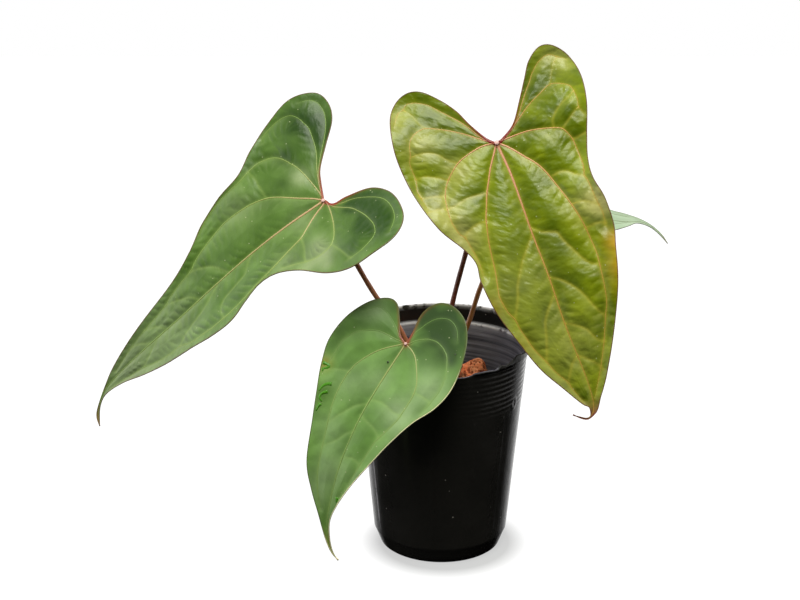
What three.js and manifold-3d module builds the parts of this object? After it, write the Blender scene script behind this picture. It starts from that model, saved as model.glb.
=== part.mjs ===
// A potted anthurium hybrid: four heart-shaped leaves on brown petioles, in a
// black five-inch nursery pot whose collar is torn away at the front.
//
// Millimetres, +Z up. The origin is the middle of the pot's base, on the
// surface that it stands on. The viewer stands on the -Y side, +X to the right.

import * as THREE from 'three';
import { mergeVertices } from 'three/addons/utils/BufferGeometryUtils.js';
import Module from 'manifold-3d';

const wasm = await Module();
wasm.setup();

// Driving dimensions of the pot
const RIM_RADIUS = 63.5;
const POT_HEIGHT = 161;
const LEDGE_HEIGHT = 146;
const WALL_TOP_RADIUS = 61;
const FOOT_HEIGHT = 12.2;
const FOOT_RADIUS = 48.5;
const BASE_RADIUS = 44;
const WALL = 1.3;
const FLOOR = 1.9;
const LIP = 0.9;
const POT_SEGMENTS = 64;
const HOLE_SEGMENTS = 16;
const DRAIN_HOLES = 6;
const DRAIN_RADIUS = 4;
const DRAIN_CIRCLE = 31;

// Driving dimensions of what fills it
const BED_HEIGHT = 107;
const CAVITY_TOP = LEDGE_HEIGHT - 10;
const FIT_GAP = 0.4;
const SEAT_GAP = 0.3;
const CROWN_RADIUS = 9;
const CROWN_X = -3;
const CROWN_Y = 1;
const CROWN_TOP = 119;
const CROWN_FOOT = 62;
const CROWN_RINGS = 7;
const CROWN_SEGMENTS = 16;
const CHUNK_COUNT = 38;
const CHUNK_CIRCLE = 54;
const CHUNK_HALF_SIZE = 6.2;
const CHUNK_SIZE_SPREAD = 2.2;
const CHUNK_LENGTH_RATIO = 1.25;
const CHUNK_HEIGHT_RATIO = 0.9;
const CHUNK_SINK = 1.5;
const ROCK_CENTRE = new THREE.Vector3(24, 13, 121);
const ROCK_HALF_SIZE = new THREE.Vector3(10.5, 11, 13);

// Driving dimensions of the leaves
const BLADE_THICKNESS = 0.7;
const MIDRIB_HEIGHT = 0.9;
const SPINE_SOFTNESS = 14;
const WAVE_LENGTH = 58;
const WAVE_REACH = 55;
const BLADE_ROWS = 40;
const JUNCTION_ROW = 28;
const BLADE_COLUMNS = 6;
const PETIOLE_RADIUS = 1.8;
const PETIOLE_SIDES = 8;

// Each blade lies on a bent surface. It is set by its junction with the petiole,
// the end of its midrib, the way its upper face looks, the rise of the arch
// along it, the slope of the fold on each side of the midrib and the height of
// the waves that run out to its edge. Its plan is in millimetres on that
// surface: x across to the right, y from the junction to the tip. Each edge
// runs from the junction round the lobe to the tip. The lobe's end and the
// shoulder beside the junction are fractions of the edge's length.
const leaves = {
  left: {
    colour: 0x3f6b31,
    junction: [-81.7, -5, 254.9],
    tip: [-248, 4, 85.3],
    face: [-0.47, -0.77, 0.43],
    arch: 18,
    fold: [0.12, 0.52],
    wave: 1.6,
    lobeEnds: [0.245, 0.235],
    shoulders: [0.37, 0.36],
    midrib: [[0, 0], [-2, 28], [-3, 58], [-3.5, 92], [-5, 129], [-9, 164], [-14, 203], [-14, 219],
      [-8, 231], [0, 238]],
    edges: [
      [[0, 0], [-13, -6], [-22, -11.5], [-34, -24], [-48, -38], [-62, -43], [-73, -39.5], [-79, -23],
        [-75, -1], [-66, 18], [-55, 36], [-52, 58], [-46, 77], [-36, 95], [-29, 117], [-25, 154],
        [-21, 192], [-17, 210], [-9, 233], [0, 238]],
      [[0, 0], [7, -4], [9, -14], [16, -30], [30, -39.5], [46, -42], [62, -39], [72.5, -28.5], [74, -13],
        [71, 4], [60, 20], [40, 36.5], [28, 52], [25, 66], [29, 80], [34, 95], [32, 112], [25, 131],
        [16, 156], [5, 179], [-5, 198], [-11, 216], [-9, 228], [0, 238]],
    ],
    petiole: [[-7.5, 1.5, 0], [-17, 1, 134], [-30.6, 0, 162.8], [-45.6, -1, 183.8], [-58.6, -3, 206.9],
      [-70, -4, 230]],
  },
  right: {
    colour: 0x7f8f2c,
    junction: [37, 10, 292.3],
    tip: [100, -58, 117.2],
    face: [-0.05, -0.9, 0.42],
    arch: 9,
    fold: [0.1, 0.12],
    wave: 2.2,
    lobeEnds: [0.225, 0.225],
    shoulders: [0.385, 0.4],
    midrib: [[0, 0], [2, 26], [2, 67], [3, 99], [3, 135], [5, 169], [5, 185], [4, 192.5], [1.5, 197],
      [-3, 199.1], [-7.4, 196.8], [-11.4, 193.6]],
    edges: [
      [[0, 0], [-6, -6], [-13, -18], [-19, -31], [-28, -43], [-38, -52], [-48, -54], [-58, -49], [-65, -38],
        [-69, -16], [-68, 6], [-64, 27], [-57, 47], [-46, 64], [-41, 76], [-42, 90], [-39, 112], [-32, 133],
        [-23, 157], [-12, 175], [-3.3, 188.5], [0.2, 191.8], [0.6, 194.2], [-0.4, 198], [-3.4, 198.4],
        [-7.2, 196.2], [-11.4, 193.6]],
      [[0, 0], [5, -2], [15, -9], [25, -24], [33, -37], [40, -48], [50, -55], [59, -53], [67, -43],
        [70, -27], [67, -6], [60, 15], [54.5, 32], [53, 46], [56, 62], [56, 80], [52, 95], [44.5, 121],
        [33, 148], [20, 173], [14.2, 182.6], [10.2, 188.5], [6.1, 195.2], [2.5, 198.2], [-2.9, 199.9],
        [-7.6, 197.3], [-11.4, 193.6]],
    ],
    petiole: [[1.8, -0.5, 0], [3, 1, 150], [7.3, 2, 177.7], [16.8, 5, 215.6], [26.3, 12, 250],
      [34, 17, 278]],
  },
  front: {
    colour: 0x4c7a35,
    junction: [-25.5, -64, 171],
    tip: [-71.3, -88, 24.5],
    face: [-0.34, -0.86, 0.38],
    arch: 14,
    fold: [0.1, 0.16],
    wave: 1.4,
    lobeEnds: [0.165, 0.19],
    shoulders: [0.33, 0.36],
    midrib: [[0, 0], [-6, 30], [-11, 58], [-14, 90], [-14, 116], [-13, 132], [-10.5, 143], [-6, 151],
      [0, 155.5]],
    edges: [
      [[0, 0], [-6, -4], [-11, -13], [-17, -22], [-25, -23.5], [-36, -17], [-46, -3], [-51, 14], [-49, 30],
        [-45, 48], [-42, 66], [-37, 95], [-29, 113], [-20, 129], [-12, 144], [-6, 152], [0, 155.5]],
      [[0, 0], [1, -9], [1, -18], [4, -26], [11, -32], [21, -32.5], [32, -27], [40, -15], [44, 2], [43, 18],
        [37, 32], [26, 46], [16, 63], [6, 83], [-2, 100], [-8, 116], [-11, 130], [-8.5, 143], [-4.5, 151.5],
        [0, 155.5]],
    ],
    petiole: [[-3.5, -4, 0], [-5, -9, 134], [-9, -24, 150], [-17, -44, 163.5]],
  },
  back: {
    colour: 0x6f8f6a,
    junction: [68.3, 62, 240.3],
    tip: [175.2, 92, 199.7],
    face: [0.1, -0.55, 0.83],
    arch: 8,
    fold: [0.1, 0.1],
    wave: 1.2,
    lobeEnds: [0.165, 0.165],
    shoulders: [0.33, 0.34],
    midrib: [[0, 0], [-3, 20], [-5, 45], [-3.5, 62], [1.5, 78], [7, 90], [8.5, 98], [7, 107], [4, 114],
      [0, 118]],
    edges: [
      [[0, 0], [-4, -6], [-8, -14], [-14, -21], [-22, -22], [-30, -14], [-33, 0], [-31, 18], [-27, 36],
        [-20, 53], [-12, 66], [-3, 78], [4, 87], [6.8, 98], [6, 106], [3, 113], [0, 118]],
      [[0, 0], [3, -6], [6, -14], [12, -21], [20, -21], [28, -12], [30, 3], [26, 20], [18, 36], [10, 50],
        [7, 62], [8.5, 75], [10, 88], [10.2, 98], [8.5, 107], [5, 114], [0, 118]],
    ],
    petiole: [[-1.5, 6, 0], [8, 8, 138], [18.5, 12, 158.2], [28.4, 22, 185.2], [41, 37, 210],
      [56, 52, 229]],
  },
};

function toSolid(geometry) {
  const bare = geometry.clone();
  bare.deleteAttribute('normal');
  bare.deleteAttribute('uv');
  const merged = mergeVertices(bare, 1e-4);
  return new wasm.Manifold(new wasm.Mesh({
    numProp: 3,
    vertProperties: new Float32Array(merged.attributes.position.array),
    triVerts: new Uint32Array(merged.index.array),
  }));
}

function toGeometry(solid) {
  const mesh = solid.getMesh();
  const geometry = new THREE.BufferGeometry();
  geometry.setAttribute('position', new THREE.BufferAttribute(new Float32Array(mesh.vertProperties), 3));
  geometry.setIndex(new THREE.BufferAttribute(new Uint32Array(mesh.triVerts), 1));
  return geometry;
}

function piece(name, geometry, colour, roughness) {
  const material = new THREE.MeshStandardMaterial({ color: colour, roughness, metalness: 0 });
  const mesh = new THREE.Mesh(geometry, material);
  mesh.name = name;
  return mesh;
}

// LatheGeometry turns about Y, so the profile's rings are stood up along Z.
function lathe(points, segments) {
  const profile = points.map(([r, z]) => new THREE.Vector2(r, z));
  return new THREE.LatheGeometry(profile, segments).rotateX(Math.PI / 2);
}

// The pot

// Outer radius of the tapering wall at a height between the foot and the ledge.
function wallRadius(z) {
  const t = (z - FOOT_HEIGHT) / (LEDGE_HEIGHT - FOOT_HEIGHT);
  return THREE.MathUtils.lerp(FOOT_RADIUS, WALL_TOP_RADIUS, t);
}

function potProfile() {
  const ledge = LEDGE_HEIGHT + 1.2;
  return [
    [0, 0],
    [BASE_RADIUS - 1, 0],
    [BASE_RADIUS, 0.8],
    [FOOT_RADIUS - 0.6, FOOT_HEIGHT - 1.2],
    [FOOT_RADIUS, FOOT_HEIGHT],
    [wallRadius(60), 60],
    [wallRadius(112), 112],
    [WALL_TOP_RADIUS, LEDGE_HEIGHT],
    [RIM_RADIUS - LIP, ledge],
    [RIM_RADIUS - LIP, POT_HEIGHT - 2.2],
    [RIM_RADIUS, POT_HEIGHT - 1.4],
    [RIM_RADIUS, POT_HEIGHT - 0.4],
    [RIM_RADIUS - 0.5, POT_HEIGHT],
    [RIM_RADIUS - WALL, POT_HEIGHT],
    [RIM_RADIUS - LIP - WALL, POT_HEIGHT - 1.6],
    [RIM_RADIUS - LIP - WALL, ledge + WALL],
    [WALL_TOP_RADIUS - WALL, LEDGE_HEIGHT + WALL],
    [wallRadius(112) - WALL, 112],
    [wallRadius(60) - WALL, 60],
    [FOOT_RADIUS - WALL, FOOT_HEIGHT],
    [BASE_RADIUS - WALL, FLOOR],
    [0, FLOOR],
  ];
}

// The tear's height at an angle from the front (-Y), positive towards +X.
// Away from the front it climbs in short steps to the whole collar at the back.
const tearLine = [[-92, 166], [-88, 158], [-84, 156.5], [-79, 152], [-71, 150.5], [-64, 151.5],
  [-57, 148.5], [-49, 149.5], [-40, 146.5], [-31, 147.8], [-22, 145.6], [-13, 146.4], [-4, 144.8],
  [9, 144.5], [12, 144.8], [19, 146.6], [27, 147.9], [36, 146.8], [39, 150.1], [44, 148.5], [51, 150.5],
  [55, 153], [67, 151], [76, 153.5], [82, 152.8], [87, 158], [92, 166]];

function tearCutter() {
  const inner = RIM_RADIUS - 12;
  const outer = RIM_RADIUS + 12;
  const top = POT_HEIGHT + 8;
  const positions = [];
  for (const [degrees, z] of tearLine) {
    const a = THREE.MathUtils.degToRad(degrees);
    for (const [r, h] of [[inner, z], [outer, z], [outer, top], [inner, top]]) {
      positions.push(r * Math.sin(a), -r * Math.cos(a), h);
    }
  }
  const index = [];
  const last = tearLine.length - 1;
  for (let i = 0; i < last; i++) {
    for (let k = 0; k < 4; k++) {
      const a = 4 * i + k;
      const b = 4 * i + (k + 1) % 4;
      index.push(a, a + 4, b + 4, a, b + 4, b);
    }
  }
  const e = 4 * last;
  index.push(0, 1, 2, 0, 2, 3, e, e + 2, e + 1, e, e + 3, e + 2);
  const geometry = new THREE.BufferGeometry();
  geometry.setAttribute('position', new THREE.Float32BufferAttribute(positions, 3));
  geometry.setIndex(index);
  return toSolid(geometry);
}

function upright(radius, height, segments) {
  return new THREE.CylinderGeometry(radius, radius, height, segments).rotateX(Math.PI / 2);
}

function potGeometry() {
  let solid = toSolid(lathe(potProfile(), POT_SEGMENTS)).subtract(tearCutter());
  for (let i = 0; i < DRAIN_HOLES; i++) {
    const a = (i + 0.5) * 2 * Math.PI / DRAIN_HOLES;
    const hole = upright(DRAIN_RADIUS, 4 * FLOOR, HOLE_SEGMENTS);
    hole.translate(DRAIN_CIRCLE * Math.cos(a), DRAIN_CIRCLE * Math.sin(a), 0);
    solid = solid.subtract(toSolid(hole));
  }
  return toGeometry(solid);
}

// The growing medium and the rock

// A broken lump: a ball pushed in and out by two pairs of crossing waves.
function lump(halfSize, detail, seed, depth) {
  const geometry = new THREE.IcosahedronGeometry(1, detail);
  const at = geometry.attributes.position;
  const p = new THREE.Vector3();
  for (let i = 0; i < at.count; i++) {
    p.fromBufferAttribute(at, i);
    const first = Math.sin(3.1 * p.x + seed) * Math.sin(2.7 * p.y + 2 * seed);
    const second = Math.sin(4.3 * p.z + 3 * seed) * Math.cos(3.7 * p.x - seed);
    p.multiplyScalar(1 + depth * (first + second)).multiply(halfSize);
    at.setXYZ(i, p.x, p.y, p.z);
  }
  return geometry;
}

function rockGeometry(grow) {
  const size = ROCK_HALF_SIZE.clone().addScalar(grow);
  const geometry = lump(size, 5, 1.7, 0.13).rotateZ(0.35);
  return geometry.translate(ROCK_CENTRE.x, ROCK_CENTRE.y, ROCK_CENTRE.z);
}

function bedGeometry() {
  const floor = FLOOR + SEAT_GAP;
  const clear = WALL + FIT_GAP + SEAT_GAP;
  const wall = [
    [BASE_RADIUS - clear, floor],
    [FOOT_RADIUS - clear, FOOT_HEIGHT],
    [wallRadius(BED_HEIGHT) - clear, BED_HEIGHT],
  ];
  const bed = toSolid(lathe([[0, floor], ...wall, [0, BED_HEIGHT]], POT_SEGMENTS));
  const brim = [[wallRadius(CAVITY_TOP) - clear, CAVITY_TOP], [0, CAVITY_TOP]];
  const cavity = toSolid(lathe([[0, floor], ...wall, ...brim], POT_SEGMENTS));
  const goldenAngle = Math.PI * (3 - Math.sqrt(5));
  let chunks = bed;
  for (let i = 0; i < CHUNK_COUNT; i++) {
    const r = CHUNK_CIRCLE * Math.sqrt((i + 0.7) / CHUNK_COUNT);
    const a = i * goldenAngle;
    const size = CHUNK_HALF_SIZE + CHUNK_SIZE_SPREAD * Math.sin(5.1 * i);
    const halfSize = new THREE.Vector3(size * CHUNK_LENGTH_RATIO, size, size * CHUNK_HEIGHT_RATIO);
    const chunk = lump(halfSize, 1, 1.9 * i, 0.12);
    const z = BED_HEIGHT - CHUNK_SINK + CHUNK_SINK * Math.sin(3.7 * i);
    chunk.rotateZ(2.3 * i).translate(r * Math.cos(a), r * Math.sin(a), z);
    chunks = chunks.add(toSolid(chunk));
  }
  const depth = BED_HEIGHT - CROWN_FOOT + SEAT_GAP;
  const hole = upright(CROWN_RADIUS + FIT_GAP, 2 * depth, 24);
  hole.translate(CROWN_X, CROWN_Y, BED_HEIGHT);
  const seat = toSolid(rockGeometry(FIT_GAP));
  return toGeometry(chunks.intersect(cavity).subtract(toSolid(hole)).subtract(seat));
}

// The crown and the petioles

// The short stem, ringed by the scars of old leaves, flat where petioles stand.
function crownGeometry() {
  const points = [[0, CROWN_FOOT], [CROWN_RADIUS - 3, CROWN_FOOT]];
  const step = (CROWN_TOP - 3 - CROWN_FOOT) / CROWN_RINGS;
  for (let i = 0; i < CROWN_RINGS; i++) {
    const z = CROWN_FOOT + 2 + i * step;
    points.push([CROWN_RADIUS - 0.9, z], [CROWN_RADIUS, z + 0.6 * step]);
  }
  points.push([CROWN_RADIUS - 0.4, CROWN_TOP - 1], [CROWN_RADIUS - 0.8, CROWN_TOP], [0, CROWN_TOP]);
  return lathe(points, CROWN_SEGMENTS).translate(CROWN_X, CROWN_Y, 0);
}

// A closed round stalk along a curve, with its radius a function of the way
// along it.
function stalkGeometry(curve, steps, sides, radiusAt) {
  const frames = curve.computeFrenetFrames(steps);
  const positions = [];
  for (let i = 0; i <= steps; i++) {
    const centre = curve.getPointAt(i / steps);
    for (let k = 0; k < sides; k++) {
      const a = 2 * Math.PI * k / sides;
      const spoke = frames.normals[i].clone().multiplyScalar(Math.cos(a));
      spoke.addScaledVector(frames.binormals[i], Math.sin(a));
      positions.push(...centre.clone().addScaledVector(spoke, radiusAt(i / steps)).toArray());
    }
  }
  const start = positions.length / 3;
  positions.push(...curve.getPointAt(0).toArray(), ...curve.getPointAt(1).toArray());
  const index = [];
  for (let k = 0; k < sides; k++) {
    const next = (k + 1) % sides;
    for (let i = 0; i < steps; i++) {
      const a = i * sides + k;
      const b = i * sides + next;
      index.push(a, b, b + sides, a, b + sides, a + sides);
    }
    index.push(start, next, k, start + 1, steps * sides + k, steps * sides + next);
  }
  const geometry = new THREE.BufferGeometry();
  geometry.setAttribute('position', new THREE.Float32BufferAttribute(positions, 3));
  geometry.setIndex(index);
  return geometry;
}

// A petiole rises from the crown's flat top, swollen at its sheath and again at
// the joint just under the blade, where it turns to meet the blade's back.
function petioleGeometry(leaf) {
  const frame = bladeFrame(leaf);
  const drop = BLADE_THICKNESS / 2 + MIDRIB_HEIGHT + SEAT_GAP;
  const end = frame.origin.clone().addScaledVector(frame.face, -drop).addScaledVector(frame.along, 1.5);
  const last = new THREE.Vector3(...leaf.petiole[leaf.petiole.length - 1]);
  const rise = end.clone().sub(last).normalize();
  const turn = frame.face.clone().add(rise.multiplyScalar(0.5)).normalize();
  const tilt = Math.acos(THREE.MathUtils.clamp(turn.dot(frame.face), -1, 1));
  end.addScaledVector(frame.face, -2.2 * Math.sin(tilt));
  const points = leaf.petiole.map(([x, y, z]) => new THREE.Vector3(x, y, z || CROWN_TOP + SEAT_GAP));
  points.splice(1, 0, points[0].clone().add(new THREE.Vector3(0, 0, 2.5)));
  points.push(end.clone().addScaledVector(turn, -4), end);
  const curve = new THREE.CatmullRomCurve3(points, false, 'centripetal');
  const steps = Math.round(curve.getLength() / 6);
  return stalkGeometry(curve, steps, PETIOLE_SIDES, (t) => {
    const sheath = 1.2 * Math.exp(-((t / 0.1) ** 2));
    const joint = 0.45 * Math.exp(-(((t - 0.97) / 0.06) ** 2));
    return PETIOLE_RADIUS + sheath + joint;
  });
}

// The blades

function bladeFrame(leaf) {
  const origin = new THREE.Vector3(...leaf.junction);
  const along = new THREE.Vector3(...leaf.tip).sub(origin);
  const length = along.length();
  along.normalize();
  const face = new THREE.Vector3(...leaf.face);
  face.addScaledVector(along, -face.dot(along)).normalize();
  const across = face.clone().cross(along);
  return { origin, along, across, face, length };
}

// Height of the bent surface over the leaf's plane: a low arch along the midrib,
// which keeps falling behind the junction, a fold whose two sides rise from a
// softly rounded spine, and slanting waves that grow towards the edge.
function bladeHeight(leaf, length, x, y) {
  const t = y / length;
  const arch = 4 * leaf.arch * t * (t > 0 ? 1 - t : 1);
  const rise = Math.sqrt(x * x + SPINE_SOFTNESS ** 2) - SPINE_SOFTNESS;
  const reach = Math.min(1, (x / WAVE_REACH) ** 2);
  const phase = 2 * Math.PI * (y + 0.4 * Math.abs(x)) / WAVE_LENGTH + (x < 0 ? 1.2 : 0);
  const wave = leaf.wave * reach * Math.sin(phase);
  return arch + leaf.fold[x < 0 ? 0 : 1] * rise + wave;
}

function bladePoint(leaf, frame, x, y, lift) {
  const h = bladeHeight(leaf, frame.length, x, y);
  const step = 0.5;
  const slopeX = (bladeHeight(leaf, frame.length, x + step, y) - h) / step;
  const slopeY = (bladeHeight(leaf, frame.length, x, y + step) - h) / step;
  const normal = frame.face.clone();
  normal.addScaledVector(frame.across, -slopeX).addScaledVector(frame.along, -slopeY).normalize();
  const point = frame.origin.clone().addScaledVector(frame.across, x).addScaledVector(frame.along, y);
  return point.addScaledVector(frame.face, h).addScaledVector(normal, lift);
}

// A half blade is ruled between its inner line (the midrib up to the junction,
// then the edge of the sinus out to the lobe's end) and its outer edge.
function halfBladePlan(leaf, side, midrib) {
  const edge = new THREE.SplineCurve(leaf.edges[side].map(([x, y]) => new THREE.Vector2(x, y)));
  const lobeEnd = leaf.lobeEnds[side];
  const shoulder = leaf.shoulders[side];
  const rows = [];
  for (let i = 0; i <= BLADE_ROWS; i++) {
    let inner;
    let outer;
    if (i <= JUNCTION_ROW) {
      const t = i / JUNCTION_ROW;
      inner = midrib.getPointAt(1 - t);
      outer = edge.getPointAt(1 - (1 - shoulder) * t);
    } else {
      const t = (i - JUNCTION_ROW) / (BLADE_ROWS - JUNCTION_ROW);
      inner = edge.getPointAt(lobeEnd * t);
      outer = edge.getPointAt(shoulder - (shoulder - lobeEnd) * t);
    }
    rows.push({ inner, outer });
  }
  return rows;
}

function bladeGeometry(leaf) {
  const frame = bladeFrame(leaf);
  const midrib = new THREE.SplineCurve(leaf.midrib.map(([x, y]) => new THREE.Vector2(x, y)));
  const upper = [];
  const lower = [];
  const index = [];
  const names = new Map();
  const vertex = (side, i, j, rows) => {
    const shared = j === 0 && i <= JUNCTION_ROW;
    const column = i === 0 || i === BLADE_ROWS ? 0 : j;
    const key = shared || i === 0 ? `midrib ${i}` : `${side} ${i} ${column}`;
    if (!names.has(key)) {
      const v = column / BLADE_COLUMNS;
      const p = rows[i].inner.clone().lerp(rows[i].outer, v);
      const rib = i <= JUNCTION_ROW ? MIDRIB_HEIGHT * (1 - v) ** 6 * Math.min(1, i / 8) : 0;
      names.set(key, upper.length);
      upper.push(bladePoint(leaf, frame, p.x, p.y, BLADE_THICKNESS / 2));
      lower.push(bladePoint(leaf, frame, p.x, p.y, -BLADE_THICKNESS / 2 - rib));
    }
    return names.get(key);
  };
  for (const side of [0, 1]) {
    const rows = halfBladePlan(leaf, side, midrib);
    for (let i = 0; i < BLADE_ROWS; i++) {
      for (let j = 0; j < BLADE_COLUMNS; j++) {
        const corners = [[i, j], [i, j + 1], [i + 1, j + 1], [i + 1, j]];
        const quad = corners.map(([row, column]) => vertex(side, row, column, rows));
        if (side === 0) quad.reverse();
        const [p, q, r, s] = quad;
        for (const [a, b, c] of [[p, q, r], [p, r, s]]) {
          if (a !== b && b !== c && c !== a) index.push(a, b, c);
        }
      }
    }
  }
  return closeSheet(upper, lower, index);
}

// Two faces triangulated alike, joined by a wall along every open edge.
function closeSheet(upper, lower, top) {
  const count = upper.length;
  const index = [...top];
  const open = new Map();
  for (let k = 0; k < top.length; k += 3) {
    index.push(top[k] + count, top[k + 2] + count, top[k + 1] + count);
    for (let e = 0; e < 3; e++) {
      const a = top[k + e];
      const b = top[k + (e + 1) % 3];
      if (!open.delete(`${b} ${a}`)) open.set(`${a} ${b}`, [a, b]);
    }
  }
  for (const [a, b] of open.values()) index.push(a, a + count, b + count, a, b + count, b);
  const geometry = new THREE.BufferGeometry();
  const positions = [...upper, ...lower].flatMap((p) => p.toArray());
  geometry.setAttribute('position', new THREE.Float32BufferAttribute(positions, 3));
  geometry.setIndex(index);
  return geometry;
}

const plant = new THREE.Group();
plant.add(piece('pot', potGeometry(), 0x17171a, 0.4));
plant.add(piece('growing_medium', bedGeometry(), 0x3a2c22, 0.95));
plant.add(piece('lava_rock', rockGeometry(0), 0xb5603c, 0.95));
plant.add(piece('crown', crownGeometry(), 0x6b5236, 0.8));
for (const [name, leaf] of Object.entries(leaves)) {
  plant.add(piece(`petiole_${name}`, petioleGeometry(leaf), 0x5a3426, 0.5));
  plant.add(piece(`blade_${name}`, bladeGeometry(leaf), leaf.colour, 0.45));
}

export default plant;
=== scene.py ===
# %% [markdown]
# # A potted anthurium hybrid
# This lesson dresses a plain solid model of a house plant: four heart-shaped leaves on brown stalks,
# in a black nursery pot whose collar is torn open at the front. The solids give every place and size.
# Each piece here is a finer skin over one of them, worked out from the same numbers, so nothing has
# to be fitted by eye. Lengths are written in millimetres and turned into metres when a mesh is made.

# %% Load the solid model
import bpy
import numpy as np
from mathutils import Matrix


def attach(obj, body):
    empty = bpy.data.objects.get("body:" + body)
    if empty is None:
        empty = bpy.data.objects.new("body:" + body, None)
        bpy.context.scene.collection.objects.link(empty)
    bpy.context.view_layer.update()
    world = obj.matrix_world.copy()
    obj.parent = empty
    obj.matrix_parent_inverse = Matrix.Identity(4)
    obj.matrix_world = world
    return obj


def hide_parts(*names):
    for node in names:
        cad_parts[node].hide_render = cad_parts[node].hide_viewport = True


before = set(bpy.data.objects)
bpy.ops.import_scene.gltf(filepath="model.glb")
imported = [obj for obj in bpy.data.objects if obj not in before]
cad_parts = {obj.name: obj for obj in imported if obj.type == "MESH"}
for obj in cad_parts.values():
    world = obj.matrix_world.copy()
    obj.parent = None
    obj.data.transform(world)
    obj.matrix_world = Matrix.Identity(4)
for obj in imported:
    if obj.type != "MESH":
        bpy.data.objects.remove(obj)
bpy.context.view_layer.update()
MM = 0.001

# %% [markdown]
# ## The camera
# The photograph looks slightly down at the plant from the front, from about a metre away. A lens of
# 63 mm on a 36 mm sensor gives that mild perspective. The camera is made first, so that every later
# piece can be checked against the photograph.

# %% Place the camera
CAMERA_PLACE = (-29.5, -945.7, 462.5)
CAMERA_PITCH = 16.52
LENS = 63
SENSOR_WIDTH = 36
FARTHEST_SEEN = 20


def make_camera():
    """A camera turned up by 90 degrees looks level along +Y, and the pitch tips it down from there."""
    data = bpy.data.cameras.new("camera")
    data.lens = LENS
    data.sensor_width = SENSOR_WIDTH
    data.clip_end = FARTHEST_SEEN
    camera = bpy.data.objects.new("camera", data)
    camera.location = [c * MM for c in CAMERA_PLACE]
    camera.rotation_euler = (np.radians(90 - CAMERA_PITCH), 0, 0)
    bpy.context.scene.collection.objects.link(camera)
    bpy.context.scene.camera = camera
    return camera


print("camera at", make_camera().location)

# %% [markdown]
# ## A smooth curve through a few points
# A leaf's outline, its veins and its stalk are all drawn the same way: a few points chosen one by
# one, and a smooth curve through them. Drawing curves in Blender's own curve editor would work too,
# but points in code can be shared by the outline, the veins and the solid.

# %% Follow a curve at even steps


def cubic(a, b, slope_a, slope_b, w):
    """The cubic that leaves a with one slope and reaches b with the other, while w goes from 0 to 1."""
    return ((2 * a - 2 * b + slope_a + slope_b) * w ** 3
            + (3 * b - 3 * a - 2 * slope_a - slope_b) * w ** 2 + slope_a * w + a)


def run_along(path):
    """How far along a path each of its points lies: the sum of the steps before it."""
    return np.concatenate([[0], np.cumsum(np.linalg.norm(np.diff(path, axis=0), axis=1))])


def curve_at(points, fractions):
    """Points at fractions of the length of a smooth curve. Between two points the curve is the cubic
    whose slope at each is half the step between its two neighbours. Two hundred short chords turn
    fractions of the length into the cubic's own parameter."""
    p = np.asarray(points, float)
    last = len(p) - 1

    def place(t):
        s = t * last
        i = np.minimum(s.astype(int), last - 1)
        a, b = p[i], p[i + 1]
        slope_a = (b - p[np.maximum(i - 1, 0)]) / 2
        slope_b = (p[np.minimum(i + 2, last)] - a) / 2
        return cubic(a, b, slope_a, slope_b, (s - i)[:, None])

    t = np.linspace(0, 1, 201)
    run = run_along(place(t))
    return place(np.interp(np.asarray(fractions) * run[-1], run, t))


def curve_steps(points, step):
    """The same curve, cut into nearly equal steps of the given length."""
    length = run_along(curve_at(points, np.linspace(0, 1, 60)))[-1]
    return curve_at(points, np.linspace(0, 1, max(4, int(length / step) + 1)))


print("halfway along a bent line:", curve_at([(0, 0), (10, 5), (20, 0)], [0.5])[0])

# %% [markdown]
# ## Turning grids of points into meshes
# Every piece below is a grid of points worked out with numpy. One helper joins neighbouring points
# into faces, and one puts points, faces and any named values into a mesh in a single pass, which is
# far faster than adding vertices one at a time.

# %% Join a grid


def grid_faces(rows, columns, closed=False):
    """Triangles over a grid numbered row by row. A closed grid joins its last column to its first."""
    steps = np.arange(columns if closed else columns - 1)
    i, j = np.meshgrid(np.arange(rows - 1), steps, indexing="ij")
    k = (j + 1) % columns
    a, b, c, d = i * columns + j, i * columns + k, (i + 1) * columns + k, (i + 1) * columns + j
    return np.concatenate([np.stack(corners, -1).reshape(-1, 3) for corners in ([a, b, c], [a, c, d])])


def with_area(faces):
    """The triangles whose three corners are three different points."""
    a, b, c = faces.T
    return faces[(a != b) & (b != c) & (c != a)]


print("a grid of 3 by 4 points:", len(grid_faces(3, 4)), "triangles")

# %% Build a mesh


def build(name, points, faces, material, replaces, fields):
    """A mesh object that rides with the plant. Each field is one number for every point."""
    mesh = bpy.data.meshes.new(name)
    mesh.vertices.add(len(points))
    mesh.vertices.foreach_set("co", (np.asarray(points) * MM).astype(np.float32).ravel())
    mesh.loops.add(faces.size)
    mesh.loops.foreach_set("vertex_index", faces.astype(np.int32).ravel())
    mesh.polygons.add(len(faces))
    mesh.polygons.foreach_set("loop_start", np.arange(0, faces.size, 3, dtype=np.int32))
    mesh.polygons.foreach_set("use_smooth", np.full(len(faces), True))
    mesh.update(calc_edges=True)
    for key, values in fields.items():
        kind, name_of_value = ("FLOAT_VECTOR", "vector") if values.ndim == 2 else ("FLOAT", "value")
        layer = mesh.attributes.new(key, kind, "POINT")
        layer.data.foreach_set(name_of_value, values.astype(np.float32).ravel())
    mesh.materials.append(material)
    piece = bpy.data.objects.new(name, mesh)
    bpy.context.scene.collection.objects.link(piece)
    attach(piece, "root")
    if replaces:
        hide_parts(replaces)
    print(f"{name}: {len(points)} points, {len(faces)} triangles")
    return piece


def join(parts):
    """Several meshes, each (points, faces, fields), put end to end as one."""
    starts = np.cumsum([0] + [len(p[0]) for p in parts[:-1]])
    points = np.concatenate([p[0] for p in parts])
    faces = np.concatenate([p[1] + s for p, s in zip(parts, starts)])
    fields = {key: np.concatenate([p[2][key] for p in parts]) for key in parts[0][2]}
    return points, faces, fields


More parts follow.
